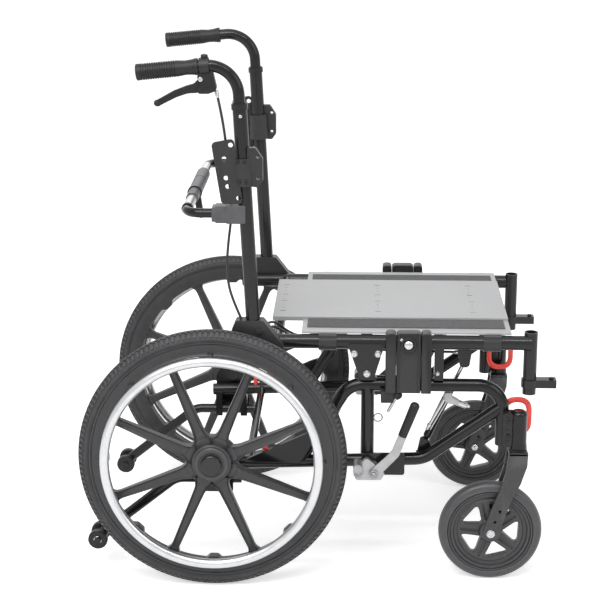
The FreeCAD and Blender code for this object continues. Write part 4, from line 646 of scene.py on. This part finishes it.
# Each pair is how far in the grip's surface lies, and how far from the grip's end or from the last rib
gripRearEnd = [(2.6, 0), (0.6, 0.8), (0, 2.4), (0.3, 6)]
gripFrontEnd = [(2.3, 24), (1.6, 14), (0.9, 9), (0.9, 7.5), (0, 7), (0, 1.2), (1, 0)]
gripWaist = [(0.4, 0), (1.2, 8)]
release = {
    "cheek": [(-19, 998), (8, 1004), (15, 973), (13.5, 966), (0, 961), (-17, 961), (-23, 967), (-14, 979),
              (-20, 990)],
    "cheekBends": [4, 2, 4, 4, 8, 4, 3, 8, 4], "cheekThick": 3, "cheekStarts": (-9, 6),
    "block": [(0.5, 1002), (8, 1003.5), (14.6, 973), (13, 966.5), (3, 962.5)], "blockBends": [2, 2, 4, 3, 3],
    "blockThick": 13, "ringPlace": (-7, 1011.2), "neckPlace": (-7, 1007.5),
    "ring": [(12.9, -9), (15.2, -9), (15.8, -8.4), (15.8, 8.4), (15.2, 9), (12.9, 9)],
    "neck": [(0, 12), (3.2, 12), (3.2, 17), (5.6, 18.2), (6.8, 20.6), (6.8, 22.4), (5.6, 24.6), (3, 25.6),
             (0, 25.8)],
    "lever": [(-5, 990), (-6, 980), (-12, 966), (-22, 961.8), (-37, 961.5), (-59, 954), (-84, 941.5),
              (-92, 936.8), (-98.6, 937.4), (-100.4, 943), (-96, 948.6), (-90, 951.5), (-64, 966),
              (-41, 975), (-27, 979), (-21, 985), (-18, 994)],
    "leverBends": [5, 8, 6, 20, 40, 30, 4, 4, 4, 6, 30, 40, 20, 8, 5, 5],
    "leverThick": 9.4, "ball": 6.2, "ballPlace": (-95.4, 942.6), "bolt": 9.6, "boltPlace": (-14, -253.8, 988),
}
cableRoutes = {
    "down": [(14, -245, 966), (22, -247, 930), (29, -247, 885), (33, -243, 840), (35, -236, 795),
             (38, -227, 755), (37, -226, 718), (32, -231, 680), (29, -240, 640), (31, -247, 602),
             (41, -249, 566), (56, -249, 531)],
    "right": [(100, -229.8, 504), (105, -219, 506), (117, -208, 505), (134, -202, 494), (154, -199, 478),
              (185, -198, 466), (230, -196, 460), (290, -195, 456), (350, -196, 455), (415, -197, 453.5),
              (476.6, -198.4, 453)],
    "left": [(100, -229.8, 514), (106, -218, 516), (121, -203, 512), (138, -190, 492), (160, -172, 475),
             (192, -145, 464), (235, -105, 458), (272, -55, 455), (306, 5, 454), (342, 65, 454),
             (380, 120, 453), (422, 165, 453), (452, 189, 453.5), (475.6, 198.4, 453)],
}
cableRadius = 2.5
ferruleForm = [(0, -0.6), (3.6, -0.6), (3.9, 0), (3.9, 9), (3.2, 10), (2.7, 13), (0, 13)]


def handGrip():
    low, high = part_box("hand_grips")
    radius, y, endGap = grip["size"] / 2, -grip["spread"] * mm, grip["endGap"] * mm
    rear = Vector((low.x + endGap, y, low.z + radius * mm))
    front = Vector((high.x - endGap, y, high.z - radius * mm))
    length = (front - rear).length / mm
    profile = [(0, 0)] + [(radius - inset, height) for inset, height in gripRearEnd]
    height, rib = grip["firstRib"], grip["rib"]
    crest, valley = radius - grip["ribInset"], radius - grip["ribDepth"]
    crestEnd, valleyStart, valleyEnd = [rib * share for share in grip["ribShares"]]
    while height < length * grip["ribbedShare"]:
        profile += [(crest, height), (crest, height + crestEnd), (valley, height + valleyStart),
                    (valley, height + valleyEnd)]
        height += rib
    profile += [(radius - inset, height + along) for inset, along in gripWaist]
    profile += [(radius - inset, length - back) for inset, back in gripFrontEnd] + [(0, length)]
    return tiltedForm("handGrip", profile, rear, front, 40)


def releaseClamp():
    y = -grip["spread"]
    cheeks = [soften(sideForm("cheek", release["cheek"], release["cheekThick"], y + cheekStart,
                              release["cheekBends"], 4), 1, 3) for cheekStart in release["cheekStarts"]]
    block = soften(sideForm("block", release["block"], release["blockThick"], y - release["blockThick"] / 2,
                            release["blockBends"], 3), 1, 2)
    low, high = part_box("hand_grips")
    slope = Vector((high.x - low.x, 0, high.z - low.z - grip["size"] * mm)).normalized()
    (ringAhead, ringHeight), (neckAhead, neckHeight) = release["ringPlace"], release["neckPlace"]
    ring = turnedAt("ring", release["ring"], spot(ringAhead, y, ringHeight), slope, 40)
    neck = turnedAt("neck", release["neck"], spot(neckAhead, y, neckHeight), upward, 24)
    return join("releaseClamp", block, ring, neck, *cheeks)


def releaseLever():
    y, thick = -grip["spread"], release["leverThick"]
    lever = sideForm("lever", release["lever"], thick, y - thick / 2, release["leverBends"], 4)
    soften(lever, 2.6, 4, 40)
    ahead, height = release["ballPlace"]
    ball = start("ball", bpy.ops.mesh.primitive_uv_sphere_add, segments=24, ring_count=14,
                 radius=release["ball"] * mm, location=spot(ahead, y, height))
    return join("releaseLever", lever, settle(ball))


def tiltCables():
    return join("tiltCables", *[tubeAlong("cable" + name, [spot(*point) for point in route], cableRadius)
                                for name, route in cableRoutes.items()])


def cableFerrules():
    down, right, left = cableRoutes["down"], cableRoutes["right"], cableRoutes["left"]
    ends = [(down[0], down[1]), (right[-1], right[-2]), (left[-1], left[-2])]
    return join("cableFerrules", *[tiltedForm("ferrule", ferruleForm, spot(*first), spot(*second), 20)
                                   for first, second in ends])


withTwin(handGrip(), "gripRubber", "seat", "grip_rubber", "hand_grips")
dress(releaseClamp(), "blackPlastic", "seat", "black_plastic", "trigger_clamp")
dress(releaseLever(), "blackPlastic", "trigger_lever", "black_plastic", "trigger_lever", sharp=40)
dress(screwHead("releaseBolt", spot(*release["boltPlace"]), release["bolt"]), "brightSteel", "seat",
      "bright_steel")
dress(tiltCables(), "cableJacket", "seat", "black_plastic", "tilt_cables", sharp=60)
dress(cableFerrules(), "brightSteel", "seat", "bright_steel")
print("grips, release lever and cables")


# Armrest receivers: two rounded uprights, a panel with the release button, and a foot with its clamping pin
armrest = {
    "outer": -273, "inner": -241, "bottom": 392, "top": 511, "strips": ((331, 351), (399, 418)),
    "stripBends": [2, 2, 8, 8], "panelThick": 27, "panelInset": 2.6, "panelBends": [1.5, 1.5, 3, 3, 3, 3],
    "panel": [(352, 392), (398, 392), (398, 508), (392, 511), (358, 511), (352, 508)],
    "grooves": (354.5, 392.5), "grooveWidth": 3, "grooveBottom": 394, "grooveTop": 508, "grooveThick": 2.6,
    "grooveInset": 0.8, "foot": [(323, 371), (347.5, 371), (347.5, 394), (322, 394)], "footThick": 24,
    "footInset": 5,
    "knob": [(0, -6), (9, -6), (10, -4), (10, 3), (8.6, 5.6), (5, 6.8), (0, 7)], "knobPlace": (354, 384.5),
    "knobInset": 14, "knobWay": (0.35, -0.65, -0.5),
    "collar": [(10.6, 0), (15.2, 0), (15.2, 2.4), (14.2, 4.2), (11.8, 4.6), (10.8, 4)],
    "collarPlace": (374, -270.6, 489),
    "button": [(0, -3), (9.4, -3), (9.4, 3.8), (8.8, 5.6), (6.6, 7.6), (3.4, 8.7), (0, 9)],
    "buttonPlace": (374, -270.4, 489), "screw": 6.5, "screwPlace": (361, -270.6, 499),
    "pinFoot": (351.5, -262, 380), "pinTip": (336.5, -262, 351), "pinFirst": 2.0, "pinStep": 2.2,
    "pinPlain": 3, "pinRing": [(3.3, 0), (3.3, 1.1), (2.7, 1.5), (2.7, 1.9)],
}


def armrestReceiver():
    outer, bottom, top = armrest["outer"], armrest["bottom"], armrest["top"]
    parts = []
    for left, right in armrest["strips"]:
        strip = sideForm("strip", boxCorners(left, right, bottom, top), armrest["inner"] - outer, outer,
                         armrest["stripBends"], 6)
        parts.append(soften(strip, 3.4, 4))
    panel = sideForm("panel", armrest["panel"], armrest["panelThick"], outer + armrest["panelInset"],
                     armrest["panelBends"], 3)
    parts.append(soften(panel, 1.2, 3))
    for left in armrest["grooves"]:
        corners = boxCorners(left, left + armrest["grooveWidth"], armrest["grooveBottom"],
                             armrest["grooveTop"])
        groove = sideForm("groove", corners, armrest["grooveThick"], outer + armrest["grooveInset"], 1.2, 3)
        parts.append(soften(groove, 0.8, 2))
    foot = sideForm("foot", armrest["foot"], armrest["footThick"], outer + armrest["footInset"], 2, 3)
    parts.append(soften(foot, 1.6, 3))
    ahead, height = armrest["knobPlace"]
    parts.append(turnedAt("knob", armrest["knob"], spot(ahead, outer + armrest["knobInset"], height),
                          armrest["knobWay"], 24))
    return join("armrestReceiver", *parts)


def armrestPin():
    foot, tip = spot(*armrest["pinFoot"]), spot(*armrest["pinTip"])
    length = (tip - foot).length / mm
    profile, height = [(0, 0), (2.9, 0)], armrest["pinFirst"]
    while height < length - armrest["pinPlain"]:
        profile += [(radius, height + along) for radius, along in armrest["pinRing"]]
        height += armrest["pinStep"]
    return tiltedForm("armrestPin", profile + [(3, length - 1), (2, length), (0, length)], foot, tip, 20)


bothSides(turnedAt("armrestCollar", armrest["collar"], spot(*armrest["collarPlace"]), outboard, 40),
          "blackPlastic", "seat", "black_plastic")
bothSides(turnedAt("armrestButton", armrest["button"], spot(*armrest["buttonPlace"]), outboard, 40),
          "brightSteel", "armrest_button_*", "bright_steel", "armrest_button_*", sharp=50)
bothSides(armrestPin(), "brightSteel", "seat", "bright_steel")
bothSides(screwHead("armrestScrew", spot(*armrest["screwPlace"]), armrest["screw"]), "brightSteel", "seat",
          "bright_steel")
withTwin(armrestReceiver(), "blackPlastic", "seat", "black_plastic", "armrest_receivers")
print("armrest receivers")


# Rear bar with its silver sections, its two-part sleeve and its small lever
rearBar = {
    "behind": -47, "height": 736, "bore": 8.6, "silver": ((-205, -66), (128, 205)), "silverRadius": 9.7,
    "sleeves": ((-64, 38), (41, 126)), "sleeveRadius": 13.6, "sleeveEdge": 2,
    "waist": (36, 44), "waistRadius": 12.2, "endRing": (-211, -204), "endRadius": 11.4,
    "middleRing": (-67, -62), "middleRadius": 14.6,
    "hook": [(-3, 8), (8, 10), (12, -12), (17, -46), (14, -52), (6, -50), (0, -20)], "hookThick": 14,
    "hookSide": -66,
}


def barRing(name, span, radius, edge=0.6):
    (low, high), bore = span, rearBar["bore"]
    return turnedAt(name, [(bore, low), (radius - edge, low), (radius, low + edge), (radius, high - edge),
                           (radius - edge, high), (bore, high)],
                    spot(rearBar["behind"], 0, rearBar["height"]), -outboard, 40)


def barSilver():
    (near, far), radius = rearBar["silver"], rearBar["silverRadius"]
    return join("barSilver", barRing("near", near, radius), barRing("far", far, radius))


def barSleeve():
    (first, second), radius, edge = rearBar["sleeves"], rearBar["sleeveRadius"], rearBar["sleeveEdge"]
    return join("barSleeve", barRing("first", first, radius, edge), barRing("second", second, radius, edge),
                barRing("waist", rearBar["waist"], rearBar["waistRadius"]))


def barRings():
    hook = sideForm("hook", rearBar["hook"], rearBar["hookThick"], 0, 3, 3)
    hookPlace = Vector((rearBar["behind"], rearBar["hookSide"], rearBar["height"])) * mm
    soften(moved(hook, Matrix.Translation(hookPlace)), 1.5, 3)
    return join("barRings", barRing("end", rearBar["endRing"], rearBar["endRadius"]),
                barRing("middle", rearBar["middleRing"], rearBar["middleRadius"]), hook)


dress(barSilver(), "brightAlloy", "seat", "bright_alloy")
dress(barSleeve(), "greyPlastic", "seat", "grey_plastic")
dress(barRings(), "blackPlastic", "seat", "black_plastic")
print("rear bar")


# Screws with hexagon sockets through the pivot plates and stop straps
seatScrew = {"headRise": 2.8, "headShare": 0.86, "washerSink": -0.3, "washerRise": 0.2, "washerEdge": 0.4}


def seatScrews():
    rise, lip = seatScrew["headRise"], seatScrew["washerRise"]
    heads = []
    for low, high in looseBoxes(nodes["seat_screws"]):
        if low.y > 0:
            continue
        radius, back = (high.x - low.x) / mm / 2, -(high.y - low.y) / mm + rise
        place = Vector(((low.x + high.x) / 2, low.y + rise * mm, (low.z + high.z) / 2))
        heads.append(screwHead("screw", place, radius * 2 * seatScrew["headShare"]))
        washer = [(0, back), (radius, back), (radius, seatScrew["washerSink"]),
                  (radius - seatScrew["washerEdge"], lip), (0, lip)]
        heads.append(turnedAt("washer", washer, place, outboard, 32))
    return join("seatScrews", *heads)


withTwin(seatScrews(), "brightSteel", "seat", "bright_steel", "seat_screws")


# Silver rods and release heads beside the gas springs
spring = {
    "low": (414, 298), "high": (453, 372), "out": -212, "rod": 3.2, "slimRod": 1.3, "slimAhead": 6.2,
    "clip": [(3, 8), (4.6, 8), (4.6, 13), (3, 13)], "reachFoot": (472, 355), "reachTip": (498, 345.5),
    "reach": [(0, 0), (5.4, 0), (6.2, 1), (6.2, 19), (5.2, 20), (3.4, 20.6), (3.4, 26), (0, 26)],
    "head": [(446, 360), (455, 354), (474, 350), (476, 360), (462, 368), (460, 377), (448, 377)],
    "headThick": 13, "slimFoot": 4, "nut": [(0, -8), (5.6, -8), (5.6, -1), (4.4, 0), (0, 0)],
}


def springPoint(name):
    ahead, height = spring[name]
    return spot(ahead, spring["out"], height)


def springTrim():
    foot, head = springPoint("low"), springPoint("high")
    way = (head - foot).normalized()
    length = (head - foot).length / mm
    radius, slim = spring["rod"], spring["slimRod"]
    beside = Vector((way.z, 0, -way.x)) * spring["slimAhead"] * mm
    rod = [(0, 0), (radius - 0.6, 0), (radius, 0.8), (radius, length), (0, length)]
    slimRod = [(0, spring["slimFoot"]), (slim, spring["slimFoot"]), (slim, length), (0, length)]
    nut = [(out, length + along) for out, along in spring["nut"]]
    return join("springTrim", tiltedForm("rod", rod, foot, head, 24),
                tiltedForm("slimRod", slimRod, foot + beside, head + beside, 16),
                tiltedForm("clip", spring["clip"], foot, head, 24), tiltedForm("nut", nut, foot, head, 6),
                tiltedForm("reach", spring["reach"], springPoint("reachFoot"), springPoint("reachTip"), 28))


def springHead():
    thick = spring["headThick"]
    return soften(sideForm("springHead", spring["head"], thick, spring["out"] - thick / 2, 3, 4), 1.8, 3)


bothSides(springTrim(), "brightSteel", "gas_spring_barrels", "bright_steel")
bothSides(springHead(), "castAlloy", "gas_spring_barrels", "cast_alloy")


# Red tie-down loops at the front, bent from flat bar
tieDown = {"low": (560.5, 287.5), "high": (618, 365.5), "width": 10.5, "thick": 6, "y": -207, "bend": 28,
           "holeBend": 18, "cutHalf": 30}


def frontTieDown():
    (rear, low), (front, high) = tieDown["low"], tieDown["high"]
    width, y, cutHalf = tieDown["width"], tieDown["y"], tieDown["cutHalf"]
    loop = sideForm("frontTieDown", boxCorners(rear, front, low, high), tieDown["thick"],
                    y - tieDown["thick"] / 2, tieDown["bend"], 10)
    hole = sideForm("hole", boxCorners(rear + width, front - width, low + width, high - width), cutHalf * 2,
                    y - cutHalf, tieDown["holeBend"], 10)
    cutAway(loop, hole)
    return soften(loop, 1.6, 3)


withTwin(frontTieDown(), "redPaint", "base", "red_paint", "front_tie_downs")


# Anti-tip bolts and small hardware of the frame
antiTipBolt = {"head": [(0, -3), (6.2, -3), (6.2, 3.4), (5, 4.2), (0, 4.2)],
               "washer": [(0, -2), (8, -2), (8, 0.4), (7.4, 0.9), (0, 0.9)]}
hookRing = {"place": (318.5, -226, 327), "radius": 7.5, "wire": 1.3, "lean": 72, "twist": 0.3,
            "stretch": (1.15, 1, 0.8)}
blockScrew = {"ahead": 570, "y": -252.2, "heights": (347, 330, 300), "size": 7.5}
lockBolt = {"places": ((281, 226), (311, 224)),
            "washer": [(0, -2.6), (9, -2.6), (9, -0.4), (8.4, 0), (0, 0)],
            "nut": [(0, -1), (5.6, -1), (5.6, 3.4), (4.6, 4.2), (2.6, 4.2), (2.4, 3.2), (0, 3.2)]}
backBolt = {"places": ((52, 838), (66, 838), (55, 800), (69, 800)), "size": 8, "sink": 0.4}
caneScrew = {"place": (59, 921), "size": 7, "sink": 0.6}
clampShell = {"main": (30, 66.6, 718.5, 753.5), "mainThick": 33.4, "mainStart": -261.2,
              "tail": [(3, 722.5), (27.5, 721), (27.5, 751.5), (3, 749.5)], "tailThick": 31.6,
              "tailStart": -260.2}


def antiTipBolts():
    low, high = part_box("anti_tip_rollers_right")
    middle = (low + high) / 2
    place = Vector((middle.x, low.y, middle.z))
    return join("antiTipBolts", turnedAt("head", antiTipBolt["head"], place, outboard, 6),
                turnedAt("washer", antiTipBolt["washer"], place, outboard, 28))


def postHook():
    ring = start("postHook", bpy.ops.mesh.primitive_torus_add, major_radius=hookRing["radius"] * mm,
                 minor_radius=hookRing["wire"] * mm, major_segments=40, minor_segments=10,
                 location=spot(*hookRing["place"]),
                 rotation=(math.radians(hookRing["lean"]), 0, hookRing["twist"]))
    ring.scale = hookRing["stretch"]
    return settle(ring)


def blockScrews():
    return join("blockScrews", *[screwHead("blockScrew", spot(blockScrew["ahead"], blockScrew["y"], height),
                                           blockScrew["size"]) for height in blockScrew["heights"]])


def lockBolts():
    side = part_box("wheel_lock_bodies")[0].y / mm
    places = [spot(ahead, side, height) for ahead, height in lockBolt["places"]]
    washers = [turnedAt("washer", lockBolt["washer"], place, outboard, 32) for place in places]
    nuts = [turnedAt("nut", lockBolt["nut"], place, outboard, 6) for place in places]
    return join("lockBolts", *washers, *nuts)


def backBolts():
    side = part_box("back_plates")[0].y / mm + backBolt["sink"]
    return join("backBolts", *[screwHead("backBolt", spot(ahead, side, height), backBolt["size"])
                               for ahead, height in backBolt["places"]])


def caneScrews():
    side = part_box("back_canes")[0].y / mm + caneScrew["sink"]
    ahead, height = caneScrew["place"]
    return screwHead("caneScrew", spot(ahead, side, height), caneScrew["size"])


def clampShells():
    form = clampShell
    main = sideForm("shell", boxCorners(*form["main"]), form["mainThick"], form["mainStart"], 2.5, 3)
    tail = sideForm("shellTail", form["tail"], form["tailThick"], form["tailStart"], 2.5, 3)
    return join("clampShells", soften(main, 1.6, 3), soften(tail, 1.6, 3))


bothSides(antiTipBolts(), "brightSteel", "anti_tip_rollers_*", "bright_steel")
bothSides(postHook(), "greySteel", "base", "bright_steel")
bothSides(blockScrews(), "blackPlastic", "base", "black_plastic")
bothSides(lockBolts(), "greySteel", "base", "grey_steel")
bothSides(backBolts(), "blackPlastic", "seat", "black_plastic")
bothSides(caneScrews(), "brightSteel", "seat", "bright_steel")
bothSides(clampShells(), "greyPlastic", "seat", "grey_plastic")
print("screws, springs and small hardware")


# Room, lamps and camera
room = {"floorTone": 0.9, "floorRough": 0.9, "floorShine": 0.1, "floorGlow": 0.5, "floorSize": 60.0,
        "worldTone": 0.36, "lookAt": (0, 0, 0.45)}
lamps = {"key": ((-1.2, -2.6, 2.9), 2.2, 40.0), "side": ((2.8, -1.6, 2.2), 1.8, 22.0),
         "rear": ((-0.6, 3.0, 2.6), 2.4, 16.0), "top": ((0.2, 0.2, 3.4), 2.6, 8.0)}  # place, size and watts
stripLamp = {"place": (0.1, -1.9, 3.1), "length": 3.2, "width": 0.12, "power": 34.0, "tilt": 35}
skyLamp = {"place": (-1, -2, 4), "way": (0.25, 0.55, -1), "strength": 1.0, "spread": 50}
view = {"lens": 98.6, "tilt": 15.88, "turn": 1.85, "place": (275.6, -3295.2, 1426.6)}


def sightRays(tree):  # 1 for what the camera sees straight on, in a reflection or through glass
    rays = tree.nodes.new("ShaderNodeLightPath")
    seen = rays.outputs["Is Camera Ray"]
    for name in ("Is Glossy Ray", "Is Transmission Ray"):
        either = tree.nodes.new("ShaderNodeMath")
        either.operation = "MAXIMUM"
        tree.links.new(seen, either.inputs[0])
        tree.links.new(rays.outputs[name], either.inputs[1])
        seen = either.outputs["Value"]
    return seen


def scaled(tree, value, factor, offset=0.0):
    step = tree.nodes.new("ShaderNodeMath")
    step.operation = "MULTIPLY_ADD"
    tree.links.new(value, step.inputs[0])
    step.inputs[1].default_value = factor
    step.inputs[2].default_value = offset
    return step.outputs["Value"]


def makeWorld():
    world = bpy.data.worlds.new("studio")
    bpy.context.scene.world = world
    world.use_nodes = True
    tree, tone = world.node_tree, room["worldTone"]
    backdrop = tree.nodes["Background"]
    backdrop.inputs["Color"].default_value = (1, 1, 1, 1)
    tree.links.new(scaled(tree, sightRays(tree), 1 - tone, tone), backdrop.inputs["Strength"])


def makeFloor():
    floor = start("floor", bpy.ops.mesh.primitive_plane_add, size=room["floorSize"])
    paint, tree, shader = newPaint("floor_paint")
    feed(shader, {"Base Color": (*[room["floorTone"]] * 3, 1), "Roughness": room["floorRough"],
                  "Specular IOR Level": room["floorShine"]})
    glow = tree.nodes.new("ShaderNodeEmission")
    tree.links.new(scaled(tree, sightRays(tree), room["floorGlow"]), glow.inputs["Strength"])
    both = tree.nodes.new("ShaderNodeAddShader")
    tree.links.new(shader.outputs["BSDF"], both.inputs[0])
    tree.links.new(glow.outputs["Emission"], both.inputs[1])
    tree.links.new(both.outputs["Shader"], tree.nodes["Material Output"].inputs["Surface"])
    floor.data.materials.append(paint)


def addLamp(name, kind, place, energy):
    bpy.ops.object.light_add(type=kind, location=place)
    lamp = bpy.context.object
    lamp.name = name
    lamp.data.energy = energy
    return lamp


def makeLamps():
    for name, (place, size, power) in lamps.items():
        lamp = addLamp(name + "_lamp", "AREA", place, power)
        lamp.data.size = size
        lamp.rotation_euler = (Vector(room["lookAt"]) - Vector(place)).to_track_quat("-Z", "Y").to_euler()
    strip = addLamp("strip_lamp", "AREA", stripLamp["place"], stripLamp["power"])
    strip.data.shape = "RECTANGLE"
    strip.data.size, strip.data.size_y = stripLamp["length"], stripLamp["width"]
    strip.rotation_euler = (math.radians(stripLamp["tilt"]), 0, 0)
    sky = addLamp("sky_lamp", "SUN", skyLamp["place"], skyLamp["strength"])
    sky.data.angle = math.radians(skyLamp["spread"])
    sky.rotation_euler = Vector(skyLamp["way"]).to_track_quat("-Z", "Y").to_euler()


def makeCamera():
    bpy.ops.object.camera_add(location=spot(*view["place"]),
                              rotation=(math.radians(90 - view["tilt"]), 0, math.radians(view["turn"])))
    camera = bpy.context.object
    camera.data.lens = view["lens"]
    camera.data.sensor_width = 36.0
    camera.data.clip_end = 200.0
    bpy.context.scene.camera = camera


makeWorld()
makeFloor()
makeLamps()
makeCamera()
bpy.context.scene.view_settings.view_transform = "Standard"
print("room and camera")
